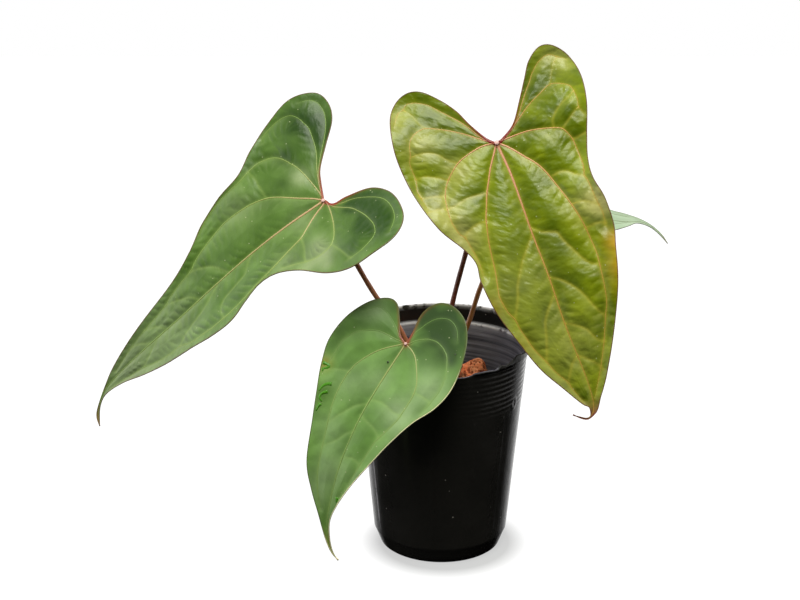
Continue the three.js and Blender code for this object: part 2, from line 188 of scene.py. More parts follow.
# %% [markdown]
# ## Tubes and balls
# Veins, margins and stalks are tubes, and lumps of rock and bark are balls. Both are grids as well:
# a tube's rows are its rings, and a ball's rows run from pole to pole, so each closes by itself.

# %% Sweep a tube, close a ball


def unit(v):
    """Vectors scaled to a length of one."""
    return v / np.linalg.norm(v, axis=-1, keepdims=True)


def tube(path, lift, half_width, half_height, sides):
    """A closed tube along a path. Its ring at each step is an ellipse: half_width across, and
    half_height along lift, the direction that is up at that step. A fan closes each end."""
    ahead = unit(np.gradient(path, axis=0))
    across = unit(np.cross(ahead, lift))
    lift = np.cross(across, ahead)
    turn = np.linspace(0, 2 * np.pi, sides, endpoint=False)
    wide = np.broadcast_to(half_width, len(path))[:, None, None] * np.cos(turn)[None, :, None]
    high = np.broadcast_to(half_height, len(path))[:, None, None] * np.sin(turn)[None, :, None]
    rings = path[:, None] + across[:, None] * wide + lift[:, None] * high
    count = len(path) * sides
    ring = np.arange(sides)
    following = (ring + 1) % sides
    start = np.stack([np.full(sides, count), following, ring], -1)
    end = np.stack([np.full(sides, count + 1), count - sides + ring, count - sides + following], -1)
    faces = np.concatenate([grid_faces(len(path), sides, closed=True), start, end])
    return np.concatenate([rings.reshape(-1, 3), path[[0, -1]]]), faces


def per_ring(values, sides):
    """One value for each step of a tube, spread over its points and its two end points."""
    values = np.asarray(values, float)
    return np.concatenate([np.repeat(values, sides), values[[0, -1]]])


def ball(around, up):
    """Directions over a ball: (sin v cos u, sin v sin u, cos v), with one ring for each v."""
    u = np.linspace(0, 2 * np.pi, around, endpoint=False)[None, :]
    v = np.linspace(0, np.pi, up)[:, None]
    points = np.stack([np.sin(v) * np.cos(u), np.sin(v) * np.sin(u), np.cos(v) + 0 * u], -1)
    return points.reshape(-1, 3), grid_faces(up, around, closed=True)


print("a ball of 12 rings:", len(ball(20, 12)[1]), "triangles")

# %% [markdown]
# ## Smooth noise, bells and ramps
# Living things are never perfectly even. A sum of sine waves that run in many directions, with wave
# lengths close to one given size, makes a soft random-looking value that is the same on every run.
# A bell says how near a point is to something, and a ramp leads from one level to another.

# %% Soft waves, bells and ramps


def ripple(x, y, size, seed, z=0.0):
    """Nine sine waves of about the given wave length added up, scaled to roughly -1 to 1."""
    dice = np.random.default_rng(seed)
    total = 0
    for _ in range(9):
        way = unit(dice.normal(size=3))
        wave = 2 * np.pi / (size * dice.uniform(0.7, 1.5))
        start = dice.uniform(0, 2 * np.pi)
        total = total + np.sin((x * way[0] + y * way[1] + z * way[2]) * wave + start)
    return total / 4.5


def bell(away, width):
    """exp(-(away / width) squared): one at nought, and next to nothing past two widths."""
    return np.exp(-(away / width) ** 2)


def ramp(value, start, end):
    """Nought up to start and one from end on, with a straight rise between them."""
    return np.clip((value - start) / (end - start), 0, 1)


print("a ripple at five places:", ripple(np.arange(5.0), np.zeros(5), 10, 1).round(2))

# %% [markdown]
# ## The leaves in numbers
# Each blade lies on a gently bent surface: it is set by its junction with the stalk, its tip, the way
# its upper face looks, an arch along it, the slope of the fold on each side of the midrib and the
# height of the waves towards its edge. Its skin is set by the spacing and height of its cross ribs,
# by how far its panels puff up and how much less they do in the lobes, by how far the calm middle
# and the red at the notch reach, and by the width of the bead on its edge.
# Outline and veins are drawn flat, in millimetres: x to the right, y from the junction to the tip.
# Drawing flat and bending afterwards keeps the veins exactly on the blade, and the same outline
# gives the solid underneath. A scanned leaf would show every vein, but only of that one leaf.

# %% The left leaf
LEAVES = {}
LEAVES["left"] = dict(
    junction=(-81.7, -5, 254.9), tip=(-248, 4, 85.3), face=(-0.47, -0.77, 0.43),
    arch=18, fold=(0.12, 0.52), wave=1.6, lobe_ends=(0.245, 0.235), shoulders=(0.37, 0.36),
    midrib=[(0, 0), (-2, 28), (-3, 58), (-3.5, 92), (-5, 129), (-9, 164), (-14, 203), (-14, 219),
            (-8, 231), (0, 238)],
    edges=[
        [(0, 0), (-13, -6), (-22, -11.5), (-34, -24), (-48, -38), (-62, -43), (-73, -39.5), (-79, -23),
         (-75, -1), (-66, 18), (-55, 36), (-52, 58), (-46, 77), (-36, 95), (-29, 117), (-25, 154),
         (-21, 192), (-17, 210), (-9, 233), (0, 238)],
        [(0, 0), (7, -4), (9, -14), (16, -30), (30, -39.5), (46, -42), (62, -39), (72.5, -28.5),
         (74, -13), (71, 4), (60, 20), (40, 36.5), (28, 52), (25, 66), (29, 80), (34, 95), (32, 112),
         (25, 131), (16, 156), (5, 179), (-5, 198), (-11, 216), (-9, 228), (0, 238)]],
    petiole=[(-7.5, 1.5, 0), (-17, 1, 134), (-30.6, 0, 162.8), (-45.6, -1, 183.8), (-58.6, -3, 206.9),
             (-70, -4, 230)],
    main_veins=[
        [(0, 0), (-6.2, 4.8), (-15, 14), (-24, 23), (-29, 30), (-32.3, 40), (-34, 52), (-35, 63),
         (-34, 73), (-31, 87), (-28, 96.4), (-24.7, 104), (-23.8, 114.5), (-22.3, 126.4),
         (-20.2, 135.5), (-19.5, 151), (-18.6, 176), (-16.5, 198)],
        [(0, 0), (-8, -0.6), (-17.3, -0.6), (-26, -0.2), (-34, 0.9), (-39.6, 2.8), (-45, 4.8),
         (-49.6, 7.6), (-53, 12), (-55, 19.8), (-53.4, 28.7), (-51.3, 37), (-50.7, 46.4), (-50.4, 56),
         (-49, 65), (-46, 74.5), (-41.5, 83)],
        [(0, 0), (-6.2, -1.4), (-15, -4.9), (-24, -9.6), (-30.7, -14), (-37.3, -17.4), (-45, -20.2),
         (-51.8, -22.2), (-57.3, -21.9), (-62.9, -21), (-67.3, -18.9), (-70, -15.8), (-72, -9),
         (-71.6, -0.2), (-69, 8)],
        [(0, 0), (-11, -3.4), (-20, -8.4), (-28, -15), (-35, -21.8), (-42, -28.3), (-48.4, -33),
         (-55, -36.3), (-60.7, -37.5), (-66, -37), (-70, -34), (-73, -28)],
        [(0, 0), (2.1, 2), (3.8, 7.6), (6.6, 14.2), (9.9, 19.8), (13.8, 26.4), (15.2, 33),
         (16.6, 39.8), (19.6, 53), (21.4, 62.7), (23.2, 74.5), (24.5, 87.3), (24.5, 97), (23.6, 109),
         (21.2, 120), (18.6, 130), (12.3, 141.4), (10.5, 150), (7.7, 159), (4, 168), (-0.5, 177.3),
         (-3.6, 187.3), (-7.7, 199), (-10.4, 210)],
        [(0, 0), (3.8, -0.4), (11.6, 0.6), (19.3, 1.8), (24.9, 2.9), (31.6, 4.8), (36, 7), (38.8, 9.6),
         (40.1, 14.2), (40.2, 18.7), (38.8, 24.2), (36, 29.8), (30.4, 38.7), (27, 45)],
        [(0, 0), (4.4, -0.8), (9, -3), (13.4, -6.8), (19.3, -11.9), (24.9, -14.9), (34.9, -18.6),
         (46, -20.8), (52.7, -20.6), (57.7, -18.9), (61.4, -14), (63.2, -5.8), (62, 3)],
        [(0, 0), (6.4, -2), (10.2, -7.5), (14.5, -17.5), (22.7, -27), (31.5, -33.5), (42, -36),
         (54, -34.5), (64, -28)]],
    side_veins=[
        [(-1.8, 94), (0, 100), (4, 111), (6.8, 123.6), (8.2, 130), (10, 135.5), (12.3, 141.4)],
        [(-2.8, 60), (0, 65.5), (3.6, 69), (6.8, 72.7), (8.2, 80), (9.5, 87.3), (10.9, 93.6),
         (14.5, 98.2), (20, 100), (24, 100)],
        [(-7.6, 152), (-5, 161), (-2.3, 168.2), (-0.5, 175)],
        [(-3.4, 81.4), (-8.2, 84), (-12.7, 86.4), (-16.4, 89.5), (-21, 96), (-24.7, 104)],
        [(-4.2, 110.3), (-7.7, 112.7), (-10.5, 115), (-12.7, 118.2), (-17.3, 127.3), (-20, 134)],
        [(-6.6, 144), (-12.7, 148.2), (-15.5, 151.8), (-19.2, 159)],
        [(-9, 161.5), (-12.7, 165.5), (-15.5, 169), (-18.6, 177)],
        [(-53.4, 28.7), (-45, 27.9), (-39.6, 28.7), (-29, 29.8)],
        [(14, 26.2), (21.6, 26.4), (27, 27.6), (33.8, 29.8), (36, 29.8)],
        [(38.8, 9.2), (49.3, 5.4), (59.3, 2.6), (62.5, 1)]],
    ribs=6.6, puff=2.2, lobe_puff=0.6, soft=8.0, ribbing=0.65, calm=45, red=20, bead=0.36,
    grid=(300, 210, 78))

# %% The right leaf
LEAVES["right"] = dict(
    junction=(37, 10, 292.3), tip=(100, -58, 117.2), face=(-0.05, -0.9, 0.42),
    arch=9, fold=(0.1, 0.12), wave=2.2, lobe_ends=(0.225, 0.225), shoulders=(0.385, 0.4),
    midrib=[(0, 0), (2, 26), (2, 67), (3, 99), (3, 135), (5, 169), (5, 185), (4, 192.5), (1.5, 197),
            (-3, 199.1), (-7.4, 196.8), (-11.4, 193.6)],
    edges=[
        [(0, 0), (-6, -6), (-13, -18), (-19, -31), (-28, -43), (-38, -52), (-48, -54), (-58, -49),
         (-65, -38), (-69, -16), (-68, 6), (-64, 27), (-57, 47), (-46, 64), (-41, 76), (-42, 90),
         (-39, 112), (-32, 133), (-23, 157), (-12, 175), (-3.3, 188.5), (0.2, 191.8), (0.6, 194.2),
         (-0.4, 198), (-3.4, 198.4), (-7.2, 196.2), (-11.4, 193.6)],
        [(0, 0), (5, -2), (15, -9), (25, -24), (33, -37), (40, -48), (50, -55), (59, -53), (67, -43),
         (70, -27), (67, -6), (60, 15), (54.5, 32), (53, 46), (56, 62), (56, 80), (52, 95), (44.5, 121),
         (33, 148), (20, 173), (14.2, 182.6), (10.2, 188.5), (6.1, 195.2), (2.5, 198.2), (-2.9, 199.9),
         (-7.6, 197.3), (-11.4, 193.6)]],
    petiole=[(1.8, -0.5, 0), (3, 1, 150), (7.3, 2, 177.7), (16.8, 5, 215.6), (26.3, 12, 250),
             (34, 17, 278)],
    main_veins=[
        [(0, 0), (-5, 8), (-10, 16), (-14, 24), (-18, 32), (-21, 40), (-24, 48), (-26, 56), (-28, 66),
         (-29, 74), (-30, 84), (-32, 96), (-33, 103), (-31, 114), (-28, 120.5), (-27, 127), (-25, 134),
         (-22, 144), (-17, 154), (-13, 163), (-7.3, 172), (-6, 177), (-2, 187)],
        [(0, 0), (-10, -1), (-20, 1.2), (-30, 5.5), (-40, 14.5), (-45, 23), (-46.8, 32), (-47.2, 43),
         (-45, 53), (-42, 57.2), (-39.8, 68), (-38.6, 77), (-38.8, 85)],
        [(0, 0), (-4.5, -2.2), (-9, -5.6), (-14, -9.6), (-20, -14), (-30, -20), (-43, -25.7),
         (-51, -24.2), (-55, -21), (-57.5, -17), (-59.2, -10), (-61.5, -4), (-61, 6.8), (-62.3, 15),
         (-60, 28)],
        [(0, 0), (-5, -3), (-10, -8.6), (-14.2, -16), (-20, -24), (-30, -35), (-35, -40.5), (-40, -44),
         (-45, -46.3), (-50, -46.8), (-53.5, -44), (-58, -42), (-63, -34)],
        [(0, 0), (5, 4), (10, 9.5), (15, 16), (20, 22), (24, 29), (27, 37), (31, 50), (34, 61),
         (36.7, 73), (37.9, 84), (38.5, 94), (37.3, 106), (35.5, 121), (34, 129), (30.5, 137.5),
         (25.5, 150), (21.5, 159), (15.5, 171), (10.6, 180), (6.4, 187)],
        [(0, 0), (6, -0.5), (20, -1), (30, 0.5), (40, 3.5), (45, 6), (48, 11), (49.8, 17), (50, 32),
         (49, 38), (47.8, 41.8), (48.8, 46), (49.8, 60), (51.5, 70), (50.5, 79)],
        [(0, 0), (6, -1.2), (13, -5.6), (20, -11.3), (30, -18.5), (40, -23.8), (48.2, -27.5),
         (55, -25.5), (60, -21.5), (61.2, -16), (61.5, -10), (60.5, -4.5), (62.5, 0.5)],
        [(0, 0), (7.5, -2.2), (14.8, -7), (20.8, -13.8), (25.8, -21), (31, -28), (35.5, -33.5),
         (40, -39.5), (46, -45), (53, -47.7), (57, -46.5), (59.5, -44.5), (65, -41)]],
    side_veins=[
        [(-59, -8.5), (-52, -8.8), (-45, -7), (-40, -3.5), (-36, 1), (-30, 5.2)],
        [(-61, 6.8), (-54, 7.2), (-50, 9), (-45, 11.5), (-40, 14.5)],
        [(-62, 19), (-60, 21.2), (-54, 22.2), (-45.5, 24.2)],
        [(-61, 32.5), (-54, 32), (-46.5, 33.8), (-40, 33), (-34, 31.2), (-28, 30.8), (-18, 31.5)],
        [(-42, 57.2), (-39.5, 54), (-36, 52), (-31, 50.5), (-24.5, 50)],
        [(-53.5, -44), (-49, -38), (-46.5, -31), (-43, -25.7)],
        [(0.8, 70), (-3, 75), (-9, 82), (-14, 90), (-19, 99), (-22, 108), (-27.8, 119.8)],
        [(2.4, 113), (-1, 116.5), (-6, 123), (-9.5, 129), (-12, 139), (-16.7, 154)],
        [(3.6, 157), (-1, 161), (-3.5, 165), (-7.3, 172)],
        [(2, 63.5), (7, 68.5), (14, 71.2), (18, 73), (20.2, 79), (24, 86.5), (30.5, 98), (37.5, 103)],
        [(3, 100.2), (10, 104.5), (17.5, 112.5), (22.2, 121), (25.5, 129), (30.3, 137.4)],
        [(3.4, 133.2), (9, 136.5), (15.8, 142), (20, 150), (24.5, 153.2)],
        [(4, 156.5), (9, 160), (14.5, 165.5), (17.5, 170.5)],
        [(29, 34.6), (34, 34), (39, 35.5), (42.5, 38.5), (47.8, 41.8)],
        [(33.5, 58), (41, 58.5), (46, 61), (50, 64)],
        [(37, 76.5), (45, 75.8), (51, 77.5)],
        [(60.5, -4.5), (56, -2), (50, 2.5), (45.5, 6)],
        [(61.5, -17), (56, -14), (50, -11), (45, -7), (41, -2), (40, 3.4)],
        [(59.5, -44.5), (55, -40), (51, -33), (48.2, -27.5)],
        [(50, 15.5), (55, 14.6), (58.6, 14)]],
    ribs=7.5, puff=3.2, lobe_puff=0.75, soft=9.0, ribbing=0.38, calm=8, red=30, bead=0.36,
    grid=(300, 210, 78))

# %% The front leaf and the back leaf
LEAVES["front"] = dict(
    junction=(-25.5, -64, 171), tip=(-71.3, -88, 24.5), face=(-0.34, -0.86, 0.38),
    arch=14, fold=(0.1, 0.16), wave=1.4, lobe_ends=(0.165, 0.19), shoulders=(0.33, 0.36),
    midrib=[(0, 0), (-6, 30), (-11, 58), (-14, 90), (-14, 116), (-13, 132), (-10.5, 143), (-6, 151),
            (0, 155.5)],
    edges=[
        [(0, 0), (-6, -4), (-11, -13), (-17, -22), (-25, -23.5), (-36, -17), (-46, -3), (-51, 14),
         (-49, 30), (-45, 48), (-42, 66), (-37, 95), (-29, 113), (-20, 129), (-12, 144), (-6, 152),
         (0, 155.5)],
        [(0, 0), (1, -9), (1, -18), (4, -26), (11, -32), (21, -32.5), (32, -27), (40, -15), (44, 2),
         (43, 18), (37, 32), (26, 46), (16, 63), (6, 83), (-2, 100), (-8, 116), (-11, 130), (-8.5, 143),
         (-4.5, 151.5), (0, 155.5)]],
    petiole=[(-3.5, -4, 0), (-5, -9, 134), (-9, -24, 150), (-17, -44, 163.5)],
    main_veins=[
        [(0, 0), (-5, 3), (-9.6, 5.8), (-14.2, 9), (-17.8, 12.2), (-21.5, 16.3), (-24.6, 20.4),
         (-27.4, 25), (-30, 33), (-31.6, 45.8), (-31.5, 57.6), (-30.2, 73.6), (-29, 89), (-27.3, 101.8),
         (-24, 113.6), (-20, 124)],
        [(0, 0), (-8.7, -0.4), (-15, -1.3), (-20.5, -1.6), (-25, -0.7), (-30.5, 1.3), (-35, 3.5),
         (-38.7, 7.6), (-41.5, 11.3), (-42.8, 15.8), (-43.8, 24), (-44.6, 33)],
        [(0, 0), (-6, -2.4), (-11, -7.4), (-17, -12), (-21.5, -14.6), (-28.7, -16), (-36, -11)],
        [(0, 0), (2.2, 1.5), (5.8, 3), (9.5, 5.8), (12.2, 9.5), (16.7, 17.6), (18.4, 22.2), (19, 27.6),
         (18.4, 33), (15.8, 44), (13.5, 50.4), (7.6, 61.3), (4.5, 67), (2.7, 73.6), (-1, 86.4),
         (-5, 102.7), (-8, 112)],
        [(0, 0), (2.2, -0.5), (4.9, -3.3), (8.5, -5.5), (13, -7.4), (18.5, -8), (23, -7), (27.6, -4.6),
         (31.3, -1), (35, 7.6), (35.8, 14), (35.4, 20.4), (33.5, 26.7), (29.5, 38)],
        [(0, 0), (1.8, -4), (3, -8.7), (5.8, -13.3), (8.5, -17.4), (13, -21.5), (18.5, -23.7),
         (24, -23.3), (29.5, -19.6), (33.5, -13)]],
    side_veins=[
        [(-8.8, 45), (-16, 49), (-20.5, 53.5), (-25, 58.5), (-30.6, 66)],
        [(-10.4, 54), (-5, 56.3), (-0.5, 58), (3, 60.4), (6.3, 63.8)],
        [(-12, 65.5), (-16.4, 69), (-20, 73.6), (-23.6, 77.3), (-29.4, 82)],
        [(19, 27.6), (25, 27.6), (31, 29), (36, 32)],
        [(-29.4, 29.6), (-35, 30.2), (-40, 31.7), (-44.5, 34)],
        [(-13.8, 85), (-10, 83.4), (-6.4, 82.7), (-0.8, 85)],
        [(-8.4, 42), (0, 41), (9.5, 43.8), (15.8, 44.5)]],
    ribs=9.0, puff=1.6, lobe_puff=0.5, soft=9.0, ribbing=0.1, calm=30, red=9, bead=0.4,
    grid=(238, 166, 56))
LEAVES["back"] = dict(
    junction=(68.3, 62, 240.3), tip=(175.2, 92, 199.7), face=(0.1, -0.55, 0.83),
    arch=8, fold=(0.1, 0.1), wave=1.2, lobe_ends=(0.165, 0.165), shoulders=(0.33, 0.34),
    midrib=[(0, 0), (-3, 20), (-5, 45), (-3.5, 62), (1.5, 78), (7, 90), (8.5, 98), (7, 107), (4, 114),
            (0, 118)],
    edges=[
        [(0, 0), (-4, -6), (-8, -14), (-14, -21), (-22, -22), (-30, -14), (-33, 0), (-31, 18),
         (-27, 36), (-20, 53), (-12, 66), (-3, 78), (4, 87), (6.8, 98), (6, 106), (3, 113), (0, 118)],
        [(0, 0), (3, -6), (6, -14), (12, -21), (20, -21), (28, -12), (30, 3), (26, 20), (18, 36),
         (10, 50), (7, 62), (8.5, 75), (10, 88), (10.2, 98), (8.5, 107), (5, 114), (0, 118)]],
    petiole=[(-1.5, 6, 0), (8, 8, 138), (18.5, 12, 158.2), (28.4, 22, 185.2), (41, 37, 210),
             (56, 52, 229)],
    main_veins=[
        [(0, 0), (-6, 3), (-12, 10), (-16, 20), (-17.5, 32), (-15, 46), (-10, 58), (-4, 69), (2, 80)],
        [(0, 0), (-8, 0), (-17, 1), (-24, 7), (-26.5, 18), (-24, 32), (-19, 45)],
        [(0, 0), (-6, -5), (-12, -11), (-20, -14), (-27, -8), (-29, 4)],
        [(0, 0), (5, 3), (10, 10), (12, 20), (11, 30), (7, 42), (3.5, 55), (4.5, 68), (7.5, 82)],
        [(0, 0), (7, 0), (15, 1), (21, 7), (22.5, 16), (18, 29), (12, 39)],
        [(0, 0), (5, -5), (11, -11), (18, -13), (24, -7), (26, 3)]],
    side_veins=[
        [(-3.6, 24), (-8, 28), (-12, 34), (-16, 41)],
        [(-5, 44), (-8, 49), (-11, 56)],
        [(-3.2, 22), (1, 25), (6, 30), (9, 36)],
        [(-5, 40), (-1, 45), (3, 53)]],
    ribs=7.0, puff=0.8, lobe_puff=1, soft=7.0, ribbing=0.16, calm=20, red=12, bead=0.3,
    grid=(180, 126, 40))
for _name, _leaf in LEAVES.items():
    counts = len(_leaf["main_veins"]), len(_leaf["side_veins"])
    print(f"{_name} leaf: {counts[0]} main veins, {counts[1]} side veins")

# %% [markdown]
# ## Bending the flat plan
# The real blade is stiff and leathery, so it arches lengthways, folds a little along its midrib and
# waves towards its edge. Between the veins it is puffed up into panels like a quilt, and each panel
# is crossed by finer ribs that slant towards the tip. It is calmer round the junction. The bend is
# one height formula over the leaf's plane, and the quilting is added to it from the distance to the
# nearest vein, so that every vein runs in its own valley. Sculpting could do it, but not repeat it.

# %% The bent surface
SPINE_SOFTNESS = 14
WAVE_LENGTH = 58
WAVE_REACH = 55
BLADE_THICKNESS = 0.6
DOT_STEP = 0.7
DOT_REACH = 0.4


def blade_axes(leaf):
    """Origin, the way along to the tip, the way across to the right, the way the face looks, length."""
    origin = np.array(leaf["junction"], float)
    along = np.array(leaf["tip"], float) - origin
    length = np.linalg.norm(along)
    along = along / length
    face = np.array(leaf["face"], float)
    face = unit(face - face @ along * along)
    return origin, along, np.cross(face, along), face, length


def blade_height(leaf, x, y):
    """A low arch 4a(t - t t) along the blade, a rise sqrt(x x + s s) - s on each side of the midrib,
    and slanting sine waves that grow with the square of x."""
    t = y / blade_axes(leaf)[4]
    arch = 4 * leaf["arch"] * t * np.where(t > 0, 1 - t, 1)
    rise = np.sqrt(x * x + SPINE_SOFTNESS ** 2) - SPINE_SOFTNESS
    reach = np.minimum(1, (x / WAVE_REACH) ** 2)
    phase = 2 * np.pi * (y + 0.4 * np.abs(x)) / WAVE_LENGTH + np.where(x < 0, 1.2, 0)
    fold = np.where(x < 0, leaf["fold"][0], leaf["fold"][1])
    return arch + fold * rise + leaf["wave"] * reach * np.sin(phase)


def to_curve(points, dots):
    """Distance from each plan point to the nearest stretch between two dots, and how far along the
    curve that is. The nearest dot is found first, and the dot's own direction refines both."""
    ahead = unit(np.gradient(dots, axis=0))
    run = run_along(dots)
    gap, along = [], []
    for part in np.array_split(points, max(1, len(points) // 3000)):
        squares = (dots ** 2).sum(1)[None] - 2 * part @ dots.T
        which = squares.argmin(1)
        away = part - dots[which]
        further = np.clip((away * ahead[which]).sum(1), -DOT_REACH, DOT_REACH)
        gap.append(np.linalg.norm(away - further[:, None] * ahead[which], axis=1))
        along.append(run[which] + further)
    return np.concatenate(gap), np.concatenate(along)


def to_curves(x, y, every):
    """The same for several curves: the nearest distance, how much further the next curve is, and the
    run along the nearest one."""
    points = np.stack([np.ravel(x), np.ravel(y)], 1)
    found = [to_curve(points, dots) for dots in every]
    gaps, runs = np.array([f[0] for f in found]), np.array([f[1] for f in found])
    order = gaps.argsort(axis=0)
    pick = np.arange(gaps.shape[1])
    near, second = gaps[order[0], pick], gaps[order[min(1, len(every) - 1)], pick]
    shape = np.shape(x)
    return near.reshape(shape), (second - near).reshape(shape), runs[order[0], pick].reshape(shape)


# %% The quilting
RIB_SLANT = 0.5
RIB_REACH = 10
CLEAR_OF_VEIN = 2.5
CLEAR_OF_NEXT = 3.0
SIDE_PRESS = 0.7
CREASE_WIDTH = 0.8
EDGE_WIDTH = 2.0


def quilting(leaf, x, y):
    """The puffed relief. From a main vein it climbs as 1 - exp(-d/w) with the distance d, which makes
    a sharp valley and a round panel, and a side vein presses nearly as deep. Cross ribs, one every few
    millimetres along the nearest vein and slanting towards the tip, swell as 1 - u u with u from -1 to
    1 across each. They fade close to the vein, far from it where the ribs of the next vein begin, and
    in the calm part round the junction. All of it is weaker in the lobes and runs out at the edge."""
    main, beyond, run = to_curves(x, y, leaf["main_dots"])
    side = to_curves(x, y, leaf["side_dots"])[0]
    edge = to_curves(x, y, leaf["edge_dots"])[0]
    pressed = 1 - SIDE_PRESS * np.exp(-side / (0.55 * leaf["soft"]))
    pillow = (1 - np.exp(-main / leaf["soft"])) * pressed
    turns = (run - RIB_SLANT * main + 2.0 * ripple(x, y, 22, 5)) / leaf["ribs"]
    crease = leaf["ribs"] * np.abs(turns - np.floor(turns) - 0.5)
    fade = (1 - bell(main, CLEAR_OF_VEIN)) * (1 - bell(beyond, CLEAR_OF_NEXT))
    fade = fade * np.exp(-(main / RIB_REACH) ** 4) * (1 - bell(np.hypot(x, y), leaf["calm"]))
    ribs = (1 - (1 - 2 * crease / leaf["ribs"]) ** 2) * fade * (0.65 + 0.35 * ripple(x, y, 30, 6))
    body = leaf["lobe_puff"] + (1 - leaf["lobe_puff"]) * ramp(y, -20, 15)
    relief = body * (leaf["puff"] * (pillow - 0.6) + leaf["ribbing"] * (ribs - 0.4))
    relief = relief + 0.12 * leaf["puff"] * ripple(x, y, 15, 8) * fade
    relief = relief * (1 - 0.8 * np.exp(-edge / EDGE_WIDTH))
    crease = body * leaf["ribbing"] * fade * np.exp(-crease / CREASE_WIDTH)
    return dict(relief=relief, main=main, side=side, edge=edge, body=body, crease=crease)


def on_blade(leaf, x, y, relief, lift):
    """Points over the plan at the height of the bend, moved by the relief and the lift along the
    bend's own normal. Also gives those normals."""
    origin, along, across, face, _ = blade_axes(leaf)
    step = 0.5
    height = blade_height(leaf, x, y)
    slope_x = (blade_height(leaf, x + step, y) - height) / step
    slope_y = (blade_height(leaf, x, y + step) - height) / step
    normal = unit(face - slope_x[..., None] * across - slope_y[..., None] * along)
    place = origin + x[..., None] * across + y[..., None] * along + height[..., None] * face
    return place + (relief + lift)[..., None] * normal, normal


def as_dots(curves):
    """Each curve as points so close together that the nearest one is as good as the curve."""
    return [curve_steps(points, DOT_STEP) for points in curves]


for _leaf in LEAVES.values():
    _leaf["main_dots"] = as_dots([_leaf["midrib"]] + _leaf["main_veins"])
    _leaf["side_dots"] = as_dots(_leaf["side_veins"])
    _leaf["edge_dots"] = as_dots(_leaf["edges"])
print("left midrib height in mm:", blade_height(LEAVES["left"], np.zeros(3), np.array([0, 119, 238])))

# %% [markdown]
# ## A short way to write shader nodes
# A finish is a small network of nodes. Building it by mouse is fine for one material, but a plant has
# a dozen, so these helpers add a node, fill its sockets and link it in one line each.

# %% Helpers for materials


def put(tree, kind, sockets, **settings):
    """Adds a node. A socket given as another node's output is linked, and any other value is set."""
    node = tree.nodes.new("ShaderNode" + kind)
    for key, value in settings.items():
        setattr(node, key, value)
    for key, value in sockets.items():
        if isinstance(value, bpy.types.NodeSocket):
            tree.links.new(value, node.inputs[key])
        else:
            node.inputs[key].default_value = value
    return node


def colour(code):
    """A colour written as on a paint chart, such as '7e9040', in the linear values that light uses."""
    channels = [int(code[i:i + 2], 16) / 255 for i in (0, 2, 4)]
    return tuple(c / 12.92 if c < 0.04045 else ((c + 0.055) / 1.055) ** 2.4 for c in channels) + (1.0,)


def mix(tree, amount, first, second):
    """The second colour over the first: first (1 - amount) + second amount."""
    first = colour(first) if isinstance(first, str) else first
    second = colour(second) if isinstance(second, str) else second
    return put(tree, "Mix", {0: amount, 6: first, 7: second}, data_type="RGBA").outputs[2]


def coats(tree, base, *layers):
    """Colours laid over a base one after another, each given as (amount, colour)."""
    for amount, layer in layers:
        base = mix(tree, amount, base, layer)
    return base


def math(tree, operation, first, second=0.0):
    """One sum or product of two values."""
    return put(tree, "Math", {0: first, 1: second}, operation=operation).outputs[0]


def field(tree, name, share=1.0):
    """A number kept on the points of the mesh, or a share of it."""
    value = put(tree, "Attribute", {}, attribute_name=name).outputs["Fac"]
    return value if share == 1.0 else math(tree, "MULTIPLY", value, share)


def vector_field(tree, name):
    """Three numbers kept on the points of the mesh, which a pattern can be laid out on."""
    return put(tree, "Attribute", {}, attribute_name=name).outputs["Vector"]


def spread(tree, value, low, high, to_low=0.0, to_high=1.0):
    """Stretches a value so that low and high land on to_low and to_high, and holds it between."""
    node = put(tree, "MapRange", {"Value": value, "From Min": low, "From Max": high,
                                  "To Min": to_low, "To Max": to_high}, clamp=True)
    return node.outputs["Result"]


# %% Helpers for patterns and finishes


def noise(tree, where, scale, detail=3.0, roughness=0.55):
    """A soft cloud between 0 and 1, with as many finer octaves as detail says."""
    return put(tree, "TexNoise", {"Vector": where, "Scale": scale, "Detail": detail,
                                  "Roughness": roughness}).outputs["Fac"]


def fibres(tree, where, scale):
    """The same cloud drawn out: it is long in the direction where its scale is small."""
    stretched = put(tree, "Mapping", {"Vector": where, "Scale": scale}).outputs["Vector"]
    return noise(tree, stretched, 1.0, 4)


def cells(tree, where, scale):
    """Distance to the nearest of many scattered points, which makes round specks and pits."""
    return put(tree, "TexVoronoi", {"Vector": where, "Scale": scale}).outputs["Distance"]


def finish(name, **shader_values):
    """A new material: its tree, its main shader and the place on the object in metres."""
    material = bpy.data.materials.new(name)
    material.use_nodes = True
    tree = material.node_tree
    shader = tree.nodes["Principled BSDF"]
    for key, value in shader_values.items():
        shader.inputs[key.replace("_", " ")].default_value = value
    where = tree.nodes.new("ShaderNodeTexCoord").outputs["Object"]
    return material, tree, shader, where


def surface(tree, shader, base, height, distance):
    """Links the colour, and relief too fine for the mesh: a height from 0 to 1, times distance."""
    tree.links.new(base, shader.inputs["Base Color"])
    node = put(tree, "Bump", {"Height": height, "Distance": distance})
    tree.links.new(node.outputs["Normal"], shader.inputs["Normal"])


print("middle grey on a paint chart is", round(colour("808080")[0], 3), "in linear light")
